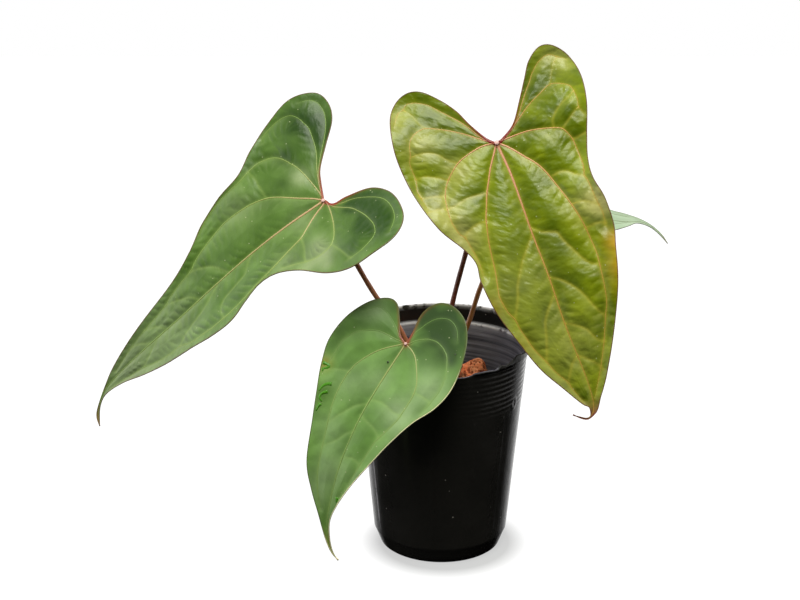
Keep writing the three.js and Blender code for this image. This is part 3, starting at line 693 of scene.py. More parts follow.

# %% [markdown]
# ## The skin of a leaf
# An anthurium's blade is leathery, with a soft sheen. Its green is darkest in the middle of each
# panel and turns yellower along the veins and on young leaves, and red where the two lobes meet the
# stalk. The sides of its crinkles that look up to the window get a painted highlight, and those
# that look down get a painted shade. The mesh carries how near each point is to a vein, to the
# notch or to the tip, and which way its crinkle slopes, and the nodes turn that into colour, so the
# pattern stays on the leaf from every side. The finest crinkles are bump. A flat green would hide
# the quilting, and a painted picture would blur close up.

# %% Leaf greens
# Each leaf's last green is laid as painted shade, on dark patches and on crinkle sides that look down;
# the two shares after it are the strength of the painted highlight and painted shade on the slopes. The
# pale green is the underside's own colour and is also laid as painted sheen.
LEAF_COLOURS = {
    "left": dict(deep="48691e", mid="66883a", pale="a8b488", halo="8ca454", notch="8c1c10",
                 tip="8c6c2c", painted_shade_green="1c3c00", painted_lit_slope=0.28, painted_shaded_slope=0.5, gloss=0.38,
                 shine=0.3, fine=0.00025),
    "right": dict(deep="5c6e00", mid="869400", pale="d0c880", halo="bcb03c", notch="880c14",
                  tip="7c3c28", painted_shade_green="3c5000", painted_lit_slope=0.36, painted_shaded_slope=0.7, gloss=0.32,
                  shine=0.27, fine=0.0005),
    "front": dict(deep="5a8036", mid="7aa64e", pale="acc490", halo="94b464", notch="8c2c1c",
                  tip="a0a038", painted_shade_green="203810", painted_lit_slope=0.4, painted_shaded_slope=0.6, gloss=0.4,
                  shine=0.34, fine=0.00015),
    "back": dict(deep="9cb894", mid="b8ccb0", pale="ccdcc4", halo="bcccb0", notch="8c4430",
                 tip="8c5c48", painted_shade_green="9ab090", painted_lit_slope=0.3, painted_shaded_slope=0.4, gloss=0.5,
                 shine=0.4, fine=0.0001),
}
GOLD_COLOUR = "b8901c"
DUST_COLOUR = "c8cca0"


def leaf_skin(name):
    """Two greens in soft clouds over the plan, and coats over them in turn: pale patches of painted
    sheen, grain, painted highlight on the crinkle sides that look up and painted shade on those that
    look down, dark patches of painted shade, gold, the halo beside the veins, red at the notch, the
    tip, pale specks, and last the paler underside. A coat's amount is a field or a stretched noise,
    times its share."""
    c = LEAF_COLOURS[name]
    material, tree, shader, _ = finish("leaf_skin_" + name, Roughness=c["gloss"],
                                       Specular_IOR_Level=c["shine"])
    plan = vector_field(tree, "plan")
    grain = noise(tree, plan, 0.55, 4)
    green = mix(tree, spread(tree, noise(tree, plan, 0.045, 2), 0.35, 0.65), c["deep"], c["mid"])
    under = mix(tree, spread(tree, grain, 0.3, 0.7), c["pale"], c["halo"])
    # Painted light among these coats: the pale patches are painted sheen, the two slope coats are
    # painted highlight and painted shade, and the dark patches are painted shade.
    base = coats(tree, green,
                 (field(tree, "painted_sheen_patch"), c["pale"]),
                 (spread(tree, grain, 0.3, 0.8, 0, 0.15), c["deep"]),
                 (field(tree, "painted_lit_slope", c["painted_lit_slope"]), c["pale"]),
                 (field(tree, "painted_shaded_slope", c["painted_shaded_slope"]), c["painted_shade_green"]),
                 (field(tree, "painted_shade_patch", 0.9), c["painted_shade_green"]),
                 (field(tree, "gold"), GOLD_COLOUR),
                 (field(tree, "halo", 0.55), c["halo"]),
                 (field(tree, "notch"), c["notch"]),
                 (field(tree, "tipward"), c["tip"]),
                 (spread(tree, cells(tree, plan, 0.16), 0.075, 0.05, 0, 0.55), DUST_COLOUR),
                 (field(tree, "under"), under))
    surface(tree, shader, base, noise(tree, vector_field(tree, "weave"), 1.0, 1.0, 0.35), c["fine"])
    return material


skins = {name: leaf_skin(name) for name in LEAVES}
print("leaf skins:", list(skins))

# %% [markdown]
# ## The blades
# Half a blade is ruled between its inner line, which is the midrib up to the junction and then the
# edge of the notch, and its outer edge. The two halves share the midrib, so there is no seam. The
# underside is the same grid pushed down by the thickness, and a narrow wall closes the rim.

# %% Rule and thicken a blade


def half_plan(leaf, side):
    """Inner and outer ends of each row of half a blade, in even steps along their curves."""
    end, shoulder = leaf["lobe_ends"][side], leaf["shoulders"][side]
    edge = leaf["edges"][side]
    rows, junction_row, _ = leaf["grid"]
    down = np.linspace(0, 1, junction_row + 1)
    lobe = np.linspace(0, 1, rows - junction_row + 1)[1:]
    inner = np.concatenate([curve_at(leaf["midrib"], 1 - down), curve_at(edge, end * lobe)])
    back = np.concatenate([1 - (1 - shoulder) * down, shoulder - (shoulder - end) * lobe])
    return inner, curve_at(edge, back)


def blade_sheet(leaf):
    """Plan points of both halves and the triangles over them, which turn up towards the face. Points
    that fall together at the tip, the midrib and the ends of the lobes are counted once."""
    rows, junction_row, columns = leaf["grid"]
    v = np.linspace(0, 1, columns + 1)[None, :, None]
    halves = [half_plan(leaf, side) for side in (0, 1)]
    plan = np.stack([inner[:, None] * (1 - v) + outer[:, None] * v for inner, outer in halves])
    number = np.arange(plan[..., 0].size).reshape(plan.shape[:3])
    number[1, :junction_row + 1, 0] = number[0, :junction_row + 1, 0]
    number[:, 0, :] = number[0, 0, 0]
    number[:, -1, :] = number[:, -1, :1]
    faces = grid_faces(rows + 1, columns + 1)
    faces = np.concatenate([number[0].ravel()[faces][:, ::-1], number[1].ravel()[faces]])
    used, faces = np.unique(with_area(faces), return_inverse=True)
    return plan.reshape(-1, 2)[used], faces.reshape(-1, 3)


def closed_sheet(top, bottom, faces):
    """The upper and lower face, and a wall along every edge that only one triangle has."""
    count = len(top)
    edges = np.concatenate([faces[:, [0, 1]], faces[:, [1, 2]], faces[:, [2, 0]]])
    code, reverse = edges[:, 0] * count + edges[:, 1], edges[:, 1] * count + edges[:, 0]
    a, b = edges[~np.isin(code, reverse)].T
    wall = np.concatenate([np.stack([a, a + count, b + count], 1), np.stack([a, b + count, b], 1)])
    return np.concatenate([top, bottom]), np.concatenate([faces, faces[:, ::-1] + count, wall])


# %% [markdown]
# ## Patches of colour
# A grown leaf is not one green, and old tissue near an edge turns golden. Dark patches are painted
# shade, where panels turn away from the light, and pale patches are painted sheen, where they catch
# it. A few soft round patches are placed on the flat plan, each with a radius and a strength.
# Painting them on would be quicker, but they would not follow a changed plan.

# %% Place the patches


def spots(x, y, places):
    """Soft round patches added up: each is (x, y, radius, strength), and falls off as a bell."""
    each = (s * np.exp(-((x - px) ** 2 + (y - py) ** 2) / r ** 2) for px, py, r, s in places)
    return sum(each, 0 * x)


# Dark patches are painted shade, where a panel turns away from the light. Pale patches are painted
# sheen, where a panel catches it. Gold is the leaf's own old tissue.
PAINTED_SHADE_SPOTS = {
    "left": [(-54, -27, 16, 1.0), (-68, -20, 12, 0.5), (-42, -25, 12, 0.8), (-58, -6, 12, 0.3),
             (-46, 4, 9, 0.8), (-31, 16, 6, 0.6), (22, -22, 12, 1.0), (40, -27, 16, 1.0),
             (58, -22, 14, 0.8), (16, -11, 8, 0.8), (40, -8, 16, 0.5), (62, 0, 10, 0.4)],
    "right": [(30, -30, 13, 0.9), (46, -30, 12, 0.5), (22, -4, 10, 1.0), (42, -2, 13, 0.5),
              (54, 14, 9, 0.4), (8, 40, 10, 0.5), (9, 76, 12, 0.6), (9, 104, 12, 0.5),
              (-20, -9, 10, 0.7), (-34, -30, 13, 0.6)],
    "front": [(4, -20, 9, 0.8), (16, -24, 14, 1.0), (30, -18, 14, 0.9), (38, -3, 11, 0.6),
              (14, -5, 11, 0.6), (27, 0, 12, 0.4), (-17, -20, 6, 0.7), (-40, -12, 6, 0.5),
              (-47, 8, 6, 0.6), (-5, -1, 12, 0.3)],
    "back": [(0, 60, 30, 0.3)],
}
PAINTED_SHEEN_SPOTS = {
    "left": [(-25, 3, 7, 0.6), (42, 16, 8, 0.6), (54, 18, 6, 0.4), (30, 18, 8, 0.4),
             (42, 30, 8, 0.5), (24, 44, 12, 0.3), (4, 20, 10, 0.3), (-6, 190, 30, 0.35),
             (-2, 140, 25, 0.25), (-36, 50, 14, 0.25)],
    "right": [(-50, -15, 13, 0.4), (-32, 10, 10, 0.4), (-52, 34, 14, 0.5), (-43, 56, 12, 0.5),
              (-62, -40, 10, 0.4), (55, 62, 10, 1.0), (42, 62, 12, 0.3), (60, -45, 12, 0.4),
              (-20, 100, 30, 0.15), (-2, 150, 25, 0.2)],
    "front": [(14, 44, 12, 0.7), (28, 20, 13, 0.6), (-8, 28, 10, 0.4), (-26, 38, 12, 0.3),
              (-18, 92, 12, 0.4), (-28, 68, 12, 0.3), (-24, 112, 12, 0.4), (-28, -13, 9, 0.4)],
    "back": [(5, 85, 25, 0.5)],
}
GOLD = {
    "left": [],
    "right": [(54, 92, 8, 1.0), (50, 108, 8, 0.8), (46, 122, 8, 0.3), (-40, 108, 8, 0.3),
              (-30, 140, 8, 0.2)],
    "front": [(-47, 30, 5, 0.4), (-4, 150, 10, 0.8)],
    "back": [],
}
print("patches on each blade:", {name: len(PAINTED_SHADE_SPOTS[name] + PAINTED_SHEEN_SPOTS[name] + GOLD[name]) for name in LEAVES})

# %% [markdown]
# ## Putting a blade together
# The plan, the bend and the quilting give the blade's points. The same formulas give the fields that
# its skin reads, so colour and relief always agree. Baking the relief's shade into a picture would
# do for one view, but would not follow a new light. The painted highlight and shade on the crinkles
# are worked out from the relief for light from above, so they would not follow a new light either.

# %% Make the blades
LIGHT_STEP = 0.6
SLOPE_SHADE = 2.2


def make_blade(name):
    """The sheet is lifted by the quilting, and by half the thickness up and down along the bend's
    normal. A crinkle gets painted highlight or painted shade by how much the relief climbs or drops
    over a small step downwards in the room. The other fields are bells of the distance to what they
    are near, sums of spots, or a ramp towards the tip."""
    leaf = LEAVES[name]
    plan, faces = blade_sheet(leaf)
    x, y = plan.T
    q = quilting(leaf, x, y)
    half = np.full(len(x), BLADE_THICKNESS / 2)
    top, bottom = [on_blade(leaf, x, y, q["relief"], lift)[0] for lift in (half, -half)]
    points, triangles = closed_sheet(top, bottom, faces)
    reach = np.hypot(x, y)
    _, along, across, _, length = blade_axes(leaf)
    lower = quilting(leaf, x - LIGHT_STEP * across[2], y - LIGHT_STEP * along[2])["relief"]
    # Painted light: by this slope, crinkle sides that look up get a painted highlight, and those that
    # look down a painted shade.
    slope = SLOPE_SHADE * (lower - q["relief"]) / LIGHT_STEP
    by_vein = 0.6 * bell(q["main"], 1.4) + 0.7 * bell(q["side"], 1.0)
    fields = {
        # painted sheen patches, then painted shade patches
        "painted_sheen_patch": spots(x, y, PAINTED_SHEEN_SPOTS[name]),
        "painted_shade_patch": spots(x, y, PAINTED_SHADE_SPOTS[name]) * (0.9 + 0.15 * ripple(x, y, 12, 51)),
        "gold": spots(x, y, GOLD[name]),
        "halo": q["body"] ** 2 * by_vein + 0.3 * q["crease"],
        "notch": 0.8 * bell(reach, 2.6) + bell(q["edge"], 1.3) * bell(reach, 28),
        # painted highlight and painted shade on the crinkle slopes
        "painted_lit_slope": slope,
        "painted_shaded_slope": -slope,
        "tipward": ramp(y / length, 0.93, 1) ** 1.5,
    }
    fields = {key: np.tile(np.clip(values, 0, 1), 2) for key, values in fields.items()}
    fields["under"] = np.repeat([0.0, 1.0], len(x))
    slant = y + 0.5 * np.maximum(-x, 0)
    fields["plan"] = np.tile(np.stack([x, y, 0 * x], 1), (2, 1))
    fields["weave"] = np.tile(np.stack([0.2 * x, 0.27 * slant, 0 * x], 1), (2, 1))
    node = "blade_" + name
    return build("leaf_" + name, points, triangles, skins[name], node, fields)


for _name in LEAVES:
    make_blade(_name)

# %% [markdown]
# ## Veins and margins
# The main veins stand up like fine cords, pinkish at the junction and greener further out, the
# midrib furthest of all. The veins that leave the junction sideways are thinner and quieter than
# those that run to the tip, and the side veins are thin lines in the bottom of the quilting. Drawn
# as colour alone they would have ragged edges, because the blade's grid doesn't follow them. So each
# one is its own thin tapering tube, sunk halfway into the blade, and so is the reddish bead that
# finishes the leaf's edge.

# %% The finish of the veins
# The dark brown after the fine green is the veins' reddish edge colour, laid on a main vein's lower
# flank only, as painted shade. A little of it is grain.
VEIN_COLOURS = {
    "left": dict(root="d8ac88", near="a8b468", far="84ac50", fine="7ca048", shaded_flank="8c8448",
                 edging="6c4030", notch="981810"),
    "right": dict(root="e0a07c", near="d49c58", far="c8a444", fine="c4b040", shaded_flank="843c10",
                  edging="6c3430", notch="840812"),
    "front": dict(root="b4b070", near="a4b86c", far="8cac54", fine="6c9048", shaded_flank="74904c",
                  edging="54602c", notch="9c4030"),
    "back": dict(root="a07060", near="98a880", far="90a078", fine="88a070", shaded_flank="80906c",
                 edging="7c7c64", notch="7c4438"),
}
MARK_COLOURS = dict(cream="fff0c4", boss="f0c0bc", curl="489000", speck="2c3820")
VEIN_FIELDS = ("near", "root", "shaded_flank", "fine", "edging", "cream", "notch", "boss", "curl", "speck")


def cord_skin(name):
    """The far colour, with a coat for each field over it: the cord's colour near the junction, the
    root's right at it, the veins' dark reddish edge laid on the lower flank only as painted shade,
    the green of fine veins, the margin and its cream part, the red notch, the pale boss, the curls and
    the specks. A little of that dark colour is grain."""
    c = VEIN_COLOURS[name] | MARK_COLOURS
    material, tree, shader, where = finish("vein_skin_" + name, Roughness=0.38)
    grain = noise(tree, where, 900, 3)
    layers = [(field(tree, key, 0.9 if key == "shaded_flank" else 1.0), c[key]) for key in VEIN_FIELDS]
    layers.append((spread(tree, grain, 0.3, 0.8, 0, 0.2), c["shaded_flank"]))
    surface(tree, shader, coats(tree, c["far"], *layers), grain, 0.0001)
    return material


cords = {name: cord_skin(name) for name in LEAVES}
print("vein skins:", list(cords))

# %% Cords along the veins
VEIN_STEP = 0.9
STOUT_SIDES = 10
THIN_SIDES = 6
PROUD = {"main": 0.6, "side": 0.15, "edging": 0.3, "curl": 0.35}


def vein(leaf, path, width, kind, quiet=0.0, rosy=26):
    """A tube over plan points, standing half out of the blade, with its fields, which are bells of the
    distance from the junction. On a main vein, the flank that looks down or to the right gets the
    dark edge colour as painted shade, and it is the one whose way across points that way. A quiet
    vein is nearly as green as the blade, and a rosy one keeps the root's colour that far."""
    x, y = path.T
    q = quilting(leaf, x, y)
    place, normal = on_blade(leaf, x, y, q["relief"], np.zeros(len(x)))
    sides = STOUT_SIDES if kind == "main" else THIN_SIDES
    surface_points, faces = tube(place, normal, width, BLADE_THICKNESS / 2 + PROUD[kind] * width, sides)
    reach = np.hypot(x, y)
    same = np.ones(len(x))
    by_notch = {"main": bell(q["edge"], 1.6), "edging": same}.get(kind, 0 * same)
    green = (kind == "side") + quiet + 0.9 * (1 - q["body"]) * (kind == "main")
    fields = {key: same * (key == kind) for key in VEIN_FIELDS}
    fields |= {"near": bell(reach, 60), "root": bell(reach, rosy), "fine": np.clip(green, 0, 1),
               "notch": np.clip(1.4 * bell(reach, leaf["red"]), 0, 1) * by_notch}
    fields = {key: per_ring(values, sides) for key, values in fields.items()}
    # Painted shade: the flank of a main vein that looks down or to the right gets the dark edge colour.
    ahead = unit(np.gradient(path, axis=0))
    turn = np.linspace(0, 2 * np.pi, sides, endpoint=False)
    lower_side = np.outer(ahead[:, 0] - ahead[:, 1], np.cos(turn))
    fields["shaded_flank"] = np.append(np.clip(lower_side, 0, 1), [0, 0]) * (kind == "main")
    return surface_points, faces, fields


def tapered(leaf, points, start, end, kind, quiet=0.0, rosy=26):
    """A vein whose half width goes from start to end as the root of the way along, and closes over
    the last few steps."""
    path = curve_steps(points, VEIN_STEP)
    t = np.linspace(0, 1, len(path))
    width = (start + (end - start) * np.sqrt(t)) * np.minimum(1, 0.25 + (1 - t) * 14)
    return vein(leaf, path, width, kind, quiet, rosy)


def margin(leaf, points, inward, cream_from):
    """The bead on the blade's edge: moved inward by most of its half width, swollen by a bell where
    the edge of the notch comes to the stalk, and cream beyond the row where that colour starts."""
    path = curve_steps(points, VEIN_STEP)
    width = leaf["bead"] + 0.95 * leaf["red"] / 30 * bell(np.hypot(*path.T), 10)
    ahead = unit(np.gradient(path, axis=0))
    aside = np.stack([-ahead[:, 1], ahead[:, 0]], 1) * inward
    points, faces, fields = vein(leaf, path + 0.8 * width[:, None] * aside, width, "edging")
    fields["cream"] = per_ring(ramp(path[:, 1], cream_from, cream_from + 15), THIN_SIDES)
    return points, faces, fields


def button(leaf, x, y, size, lift, kind):
    """A small flattened ball on the blade: the knob where all the veins meet, or a dark speck."""
    way, faces = ball(20, 12)
    place, normal = on_blade(leaf, np.array([x]), np.array([y]), np.array([0.0]), np.array([lift]))
    points = place + size * (way - 0.55 * (way @ normal[0])[:, None] * normal)
    return points, faces, {key: np.full(len(points), float(key == kind)) for key in VEIN_FIELDS}


print("steps along the left midrib:", len(curve_steps(LEAVES["left"]["midrib"], VEIN_STEP)))

# %% [markdown]
# ## Curls, specks and the right width for each vein
# The front leaf carries a few loose green curls of dried skin and two dark specks, placed one by one.
# Widths and quietness are set for each leaf, and fall from the vein beside the midrib outwards.

# %% Make the veins
CURLS = [
    [(-48, 29.8), (-45.7, 29.9), (-43.1, 30.3), (-43.4, 31.6), (-45.4, 32.8), (-46.6, 34),
     (-45.5, 35.2)],
    [(-36.8, 41.1), (-39, 41.8), (-41.2, 43.4), (-42.6, 45.8), (-43.1, 48.3)],
    [(-37.5, 46.6), (-39.5, 47.8), (-41.1, 49.6), (-41.5, 51.9), (-40.3, 53.2), (-38.8, 54.2)],
    [(-39.6, 55.8), (-40.5, 58.6), (-40.8, 61.6)],
    [(-9.8, 112.2), (-9.5, 115.9)]]
SPECKS = [(-6.3, 15.1, 0.7), (36.2, -5, 0.6)]
NO_CREAM = 999
VEIN_SETS = {
    "left": dict(stout=0.95, rosy=75, quiet=0.35, cream=(NO_CREAM, NO_CREAM)),
    "right": dict(stout=1.1, rosy=60, quiet=0.0, cream=(NO_CREAM, NO_CREAM)),
    "front": dict(stout=0.7, rosy=26, quiet=0.6, cream=(134, 0)),
    "back": dict(stout=0.6, rosy=26, quiet=0.0, cream=(NO_CREAM, NO_CREAM)),
}
OUTWARD = (0.92, 0.8, 0.6, 0.5)


def make_veins(name):
    """Midrib, main veins, side veins, the two margins and the boss of one leaf, joined into a piece.
    A main vein's width is the leaf's own times a share that falls with its place outwards."""
    leaf, kit = LEAVES[name], VEIN_SETS[name]
    stout = kit["stout"]
    parts = [tapered(leaf, leaf["midrib"], 1.25 * stout, 0.32, "main", 0.0, kit["rosy"])]
    rank = len(leaf["main_veins"]) // 2
    for i, points in enumerate(leaf["main_veins"]):
        place = i % rank
        quiet = kit["quiet"] * min(1, place)
        parts.append(tapered(leaf, points, OUTWARD[place] * stout, 0.24, "main", quiet))
    parts += [tapered(leaf, points, 0.42 * stout, 0.26, "side") for points in leaf["side_veins"]]
    parts += [margin(leaf, points, inward, cream)
              for points, inward, cream in zip(leaf["edges"], (-1, 1), kit["cream"])]
    parts.append(button(leaf, 0.0, 0.4, 1.5 * stout, 0.6, "boss"))
    if name == "front":
        parts += [tapered(leaf, points, 1.7, 0.8, "curl") for points in CURLS]
        parts += [button(leaf, x, y, size, 0.3, "speck") for x, y, size in SPECKS]
    points, faces, fields = join(parts)
    return build("veins_" + name, points, faces, cords[name], None, fields)


for _name in LEAVES:
    make_veins(_name)

# %% [markdown]
# ## The stalks
# Each petiole is a slim, slightly shiny cane, thicker where it sheathes the crown and again in the
# joint just under the blade, where it bends to hold the leaf up to the light. It is swept along the
# same points as the solid's stalk. The curve takes its own spacing into account, so that it doesn't
# swing wide where two points are close together.

# %% The course of a stalk
CROWN_TOP = 119
SEAT_GAP = 0.3
FIRST_RISE = 2.5
LAST_STEP = 4
UNDER_FACE = 1.55
TOWARDS_TIP = 1.5
ROOM_TO_TURN = 2.2
PETIOLE_RADIUS = 1.8
STALK_STEPS = 150
STALK_SIDES = 20
STALK_COLOURS = {"left": ("a85c3c", "cc8860"), "right": ("5c2414", "7c3c24"),
                 "front": ("94502c", "b87850"), "back": ("8c4c20", "b87c44")}


def stalk_curve(points):
    """Each span is a cubic whose slopes weigh the spans beside it by the root of their length. The
    whole is then cut again into even steps."""
    p = np.asarray(points, float)
    p = np.concatenate([[2 * p[0] - p[1]], p, [2 * p[-1] - p[-2]]])
    gap = np.linalg.norm(np.diff(p, axis=0), axis=1)[:, None] ** 0.5
    before, span, after = gap[:-2], gap[1:-1], gap[2:]
    a, b = p[1:-2], p[2:-1]
    slope_a = ((a - p[:-3]) / before - (b - p[:-3]) / (before + span) + (b - a) / span) * span
    slope_b = ((b - a) / span - (p[3:] - a) / (span + after) + (p[3:] - b) / after) * span
    w = np.linspace(0, 1, 80, endpoint=False)[None, :, None]
    dense = cubic(a[:, None], b[:, None], slope_a[:, None], slope_b[:, None], w).reshape(-1, 3)
    dense = np.concatenate([dense, p[-2:-1]])
    run = run_along(dense)
    even = np.linspace(0, run[-1], STALK_STEPS)
    return np.stack([np.interp(even, run, dense[:, k]) for k in range(3)], 1)


def stalk_route(leaf):
    """From the crown's top to just under the blade, where it turns to meet the blade's back."""
    origin, along, _, face, _ = blade_axes(leaf)
    end = origin - UNDER_FACE * face + TOWARDS_TIP * along
    rise = unit(end - np.array(leaf["petiole"][-1], float))
    turn = unit(face + 0.5 * rise)
    end = end - ROOM_TO_TURN * np.sin(np.arccos(np.clip(turn @ face, -1, 1))) * face
    points = [(x, y, z or CROWN_TOP + SEAT_GAP) for x, y, z in leaf["petiole"]]
    points.insert(1, (points[0][0], points[0][1], points[0][2] + FIRST_RISE))
    return points + [tuple(end - LAST_STEP * turn), tuple(end)]


for _name, _leaf in LEAVES.items():
    print(_name, "stalk length in mm:", run_along(stalk_curve(stalk_route(_leaf)))[-1].round(1))

# %% Sweep the stalks


def stalk_skin(name):
    """Two browns in long streaks, a greener joint under the blade, and a few darker clouds."""
    dark, light = STALK_COLOURS[name]
    material, tree, shader, where = finish("stalk_skin_" + name, Roughness=0.36)
    streak = fibres(tree, where, (900, 900, 60))
    base = coats(tree, mix(tree, spread(tree, streak, 0.3, 0.7), dark, light),
                 (field(tree, "joint"), "7c5c38"),
                 (spread(tree, noise(tree, where, 60, 2), 0.45, 0.7, 0, 0.4), dark))
    surface(tree, shader, base, streak, 0.00015)
    return material


def make_stalk(name):
    """A tube whose radius is the cane's, plus a bell at the sheath and one at the joint, and a very
    slight wave."""
    path = stalk_curve(stalk_route(LEAVES[name]))
    t = np.linspace(0, 1, len(path))
    joint = bell(t - 0.97, 0.06)
    radius = PETIOLE_RADIUS + 1.2 * bell(t, 0.1) + 0.45 * joint + 0.05 * np.sin(t * 60)
    lift = np.tile([1.0, 0.0, 0.0], (len(path), 1))
    points, faces = tube(path, lift, radius, radius, STALK_SIDES)
    fields = {"joint": per_ring(0.6 * joint, STALK_SIDES)}
    node = "petiole_" + name
    return build("stalk_" + name, points, faces, stalk_skin(name), node, fields)


for _name in LEAVES:
    make_stalk(_name)

# %% [markdown]
# ## The pot's plastic
# A blown nursery pot is thin black plastic with a semi-gloss skin. Outside it is clean and dark with
# faint grey marks and one leaning pale streak, a painted highlight. Inside it is dusty, made paler
# by a painted sheen. Its lip and ledge are scuffed pale where they rub, with painted highlights
# along them, and the torn edge is matt. A field that says inside or outside, one for the wear and
# painted highlights and one for the tear let one material do all of it. Separate materials would
# need a hard border between their faces.

# %% Black plastic with dust, wear and painted light


def pot_plastic():
    """Outside, near black in faint clouds with rare specks of dust. Inside, grey dust in level bands,
    made paler as a painted sheen. Worn places, with painted highlights on the lip, the ledge and one
    leaning streak, are near white, in patches. Roughness is 0.17 outside and 0.6 inside, and a little
    more in the clouds and much more at the torn edge."""
    material, tree, shader, where = finish("black_plastic", Specular_IOR_Level=0.34)
    cloud = noise(tree, where, 28, 4)
    outside = coats(tree, "242321",
                    (spread(tree, cloud, 0.4, 0.75, 0, 0.6), "2c2a27"),
                    (spread(tree, cells(tree, where, 75), 0.05, 0.03, 0, 0.8), "a8a29c"))
    # Inside: grey dust, made paler as a painted sheen.
    inside = coats(tree, "8c8a98",
                   (spread(tree, cloud, 0.3, 0.7), "b0aebc"),
                   (spread(tree, fibres(tree, where, (10, 10, 620)), 0.35, 0.65), "4a4854"))
    patchy = spread(tree, noise(tree, where, 150, 4), 0.36, 0.5)
    # Wear and painted highlights, near white in patches.
    wear_and_highlight = math(tree, "MULTIPLY", field(tree, "wear_and_highlight"), patchy)
    base = coats(tree, outside, (field(tree, "inside"), inside), (wear_and_highlight, "fcf8ff"))
    rough = spread(tree, field(tree, "inside"), 0, 1, 0.17, 0.6)
    for more in (spread(tree, cloud, 0.3, 0.7, 0, 0.08), field(tree, "torn", 0.7)):
        rough = math(tree, "ADD", rough, more)
    tree.links.new(rough, shader.inputs["Roughness"])
    fine = math(tree, "MULTIPLY", noise(tree, where, 420, 3), 0.12)
    surface(tree, shader, base, math(tree, "ADD", cloud, fine), 0.0008)
    return material


black_plastic = pot_plastic()
print("pot finish:", len(black_plastic.node_tree.nodes), "nodes")

# %% [markdown]
# ## The pot's shape
# The pot is a profile turned about the upright axis: a chamfered foot, a tapering wall with moulded
# rings, a small ledge, and a collar with a rolled lip. At the front the collar is torn away, so every
# upright line of the wall ends at its own height. The wall's upper rows are squeezed below that
# height, which keeps the grid regular right up to the ragged edge. A boolean cut would leave slivers.

# %% Profiles and the torn line
POT_AROUND = 360
TEAR = [(-92, 166), (-88, 158), (-84, 156.5), (-79, 152), (-71, 150.5), (-64, 151.5), (-57, 148.5),
        (-49, 149.5), (-40, 146.5), (-31, 147.8), (-22, 145.6), (-13, 146.4), (-4, 144.8), (9, 144.5),
        (12, 144.8), (19, 146.6), (27, 147.9), (36, 146.8), (39, 150.1), (44, 148.5), (51, 150.5),
        (55, 153), (67, 151), (76, 153.5), (82, 152.8), (87, 158), (92, 166)]
OUTER = [(43, 0), (44, 0.8), (47.9, 11), (48.5, 12.2), (61, 146), (62.6, 147.2), (62.6, 158.8),
         (63.5, 159.6), (63.5, 160.6), (63, 161)]
INNER = [(42.7, 1.9), (47.2, 12.2), (59.7, 147.3), (61.3, 148.5), (61.3, 159.4), (62.2, 161)]
SQUEEZE_FROM = 144
POT_TOP = 161


def tear_height(turn):
    """The wall's height at a turn from the front in degrees, with small teeth where it is torn."""
    degrees, heights = np.array(TEAR).T
    line = np.interp(turn, degrees, heights, left=POT_TOP + 5, right=POT_TOP + 5)
    teeth = 0.35 * ripple(turn, 0 * turn, 5, 3) + 0.2 * ripple(turn, 0 * turn, 2.2, 4)
    return np.minimum(line + np.where(line < POT_TOP, teeth, 0), POT_TOP)


print("lowest point of the tear in mm:", tear_height(np.arange(-90, 90)).min().round(1))

# %% Rings and mould marks
MOULD_LINES = (-7.5, 22, 47.5)
OVAL_TURN = 59
OVAL_HEIGHT = 116


def rings(z, low, high, pitch, depth, turn):
    """Moulded rings: a sine up the wall, faded in at low and out at high, and a little uneven."""
    fade = ramp(z, low, low + 6) * ramp(z, high, high - 2)
    uneven = 0.5 * np.sin(np.radians(turn) * 2 + 1)
    return depth * fade * np.sin(2 * np.pi * (z + uneven) / pitch)


def mould_marks(turn, z):
    """Three upright mould lines and one raised oval ring, a bell curve across each."""
    lines = sum(bell(turn - line, 0.8) for line in MOULD_LINES)
    body = ramp(z, 13, 15) * ramp(z, 110, 108)
    oval = np.hypot((turn - OVAL_TURN) / 2.6, (z - OVAL_HEIGHT) / 4)
    return 0.3 * lines * body + 0.3 * bell(oval - 1, 0.3)


print("height of the oval ring in mm:", mould_marks(OVAL_TURN, OVAL_HEIGHT + 4.0).round(2))

# %% The wall
LIP_ROWS = [144, 144.8, 145.5, 146, 146.4, 146.8, 147.2, 148, 149.5, 151, 153, 155, 157, 158.4, 158.8,
            159.2, 159.6, 160.1, 160.6, 161]
THROAT_ROWS = [161, 160.4, 159.4, 157, 154, 151, 149.5, 148.5, 148.1, 147.7, 147.3, 146.6, 145.8, 144]
LEDGE_INSIDE = 147.1
HIGHLIGHT_STREAK_TURN = -63


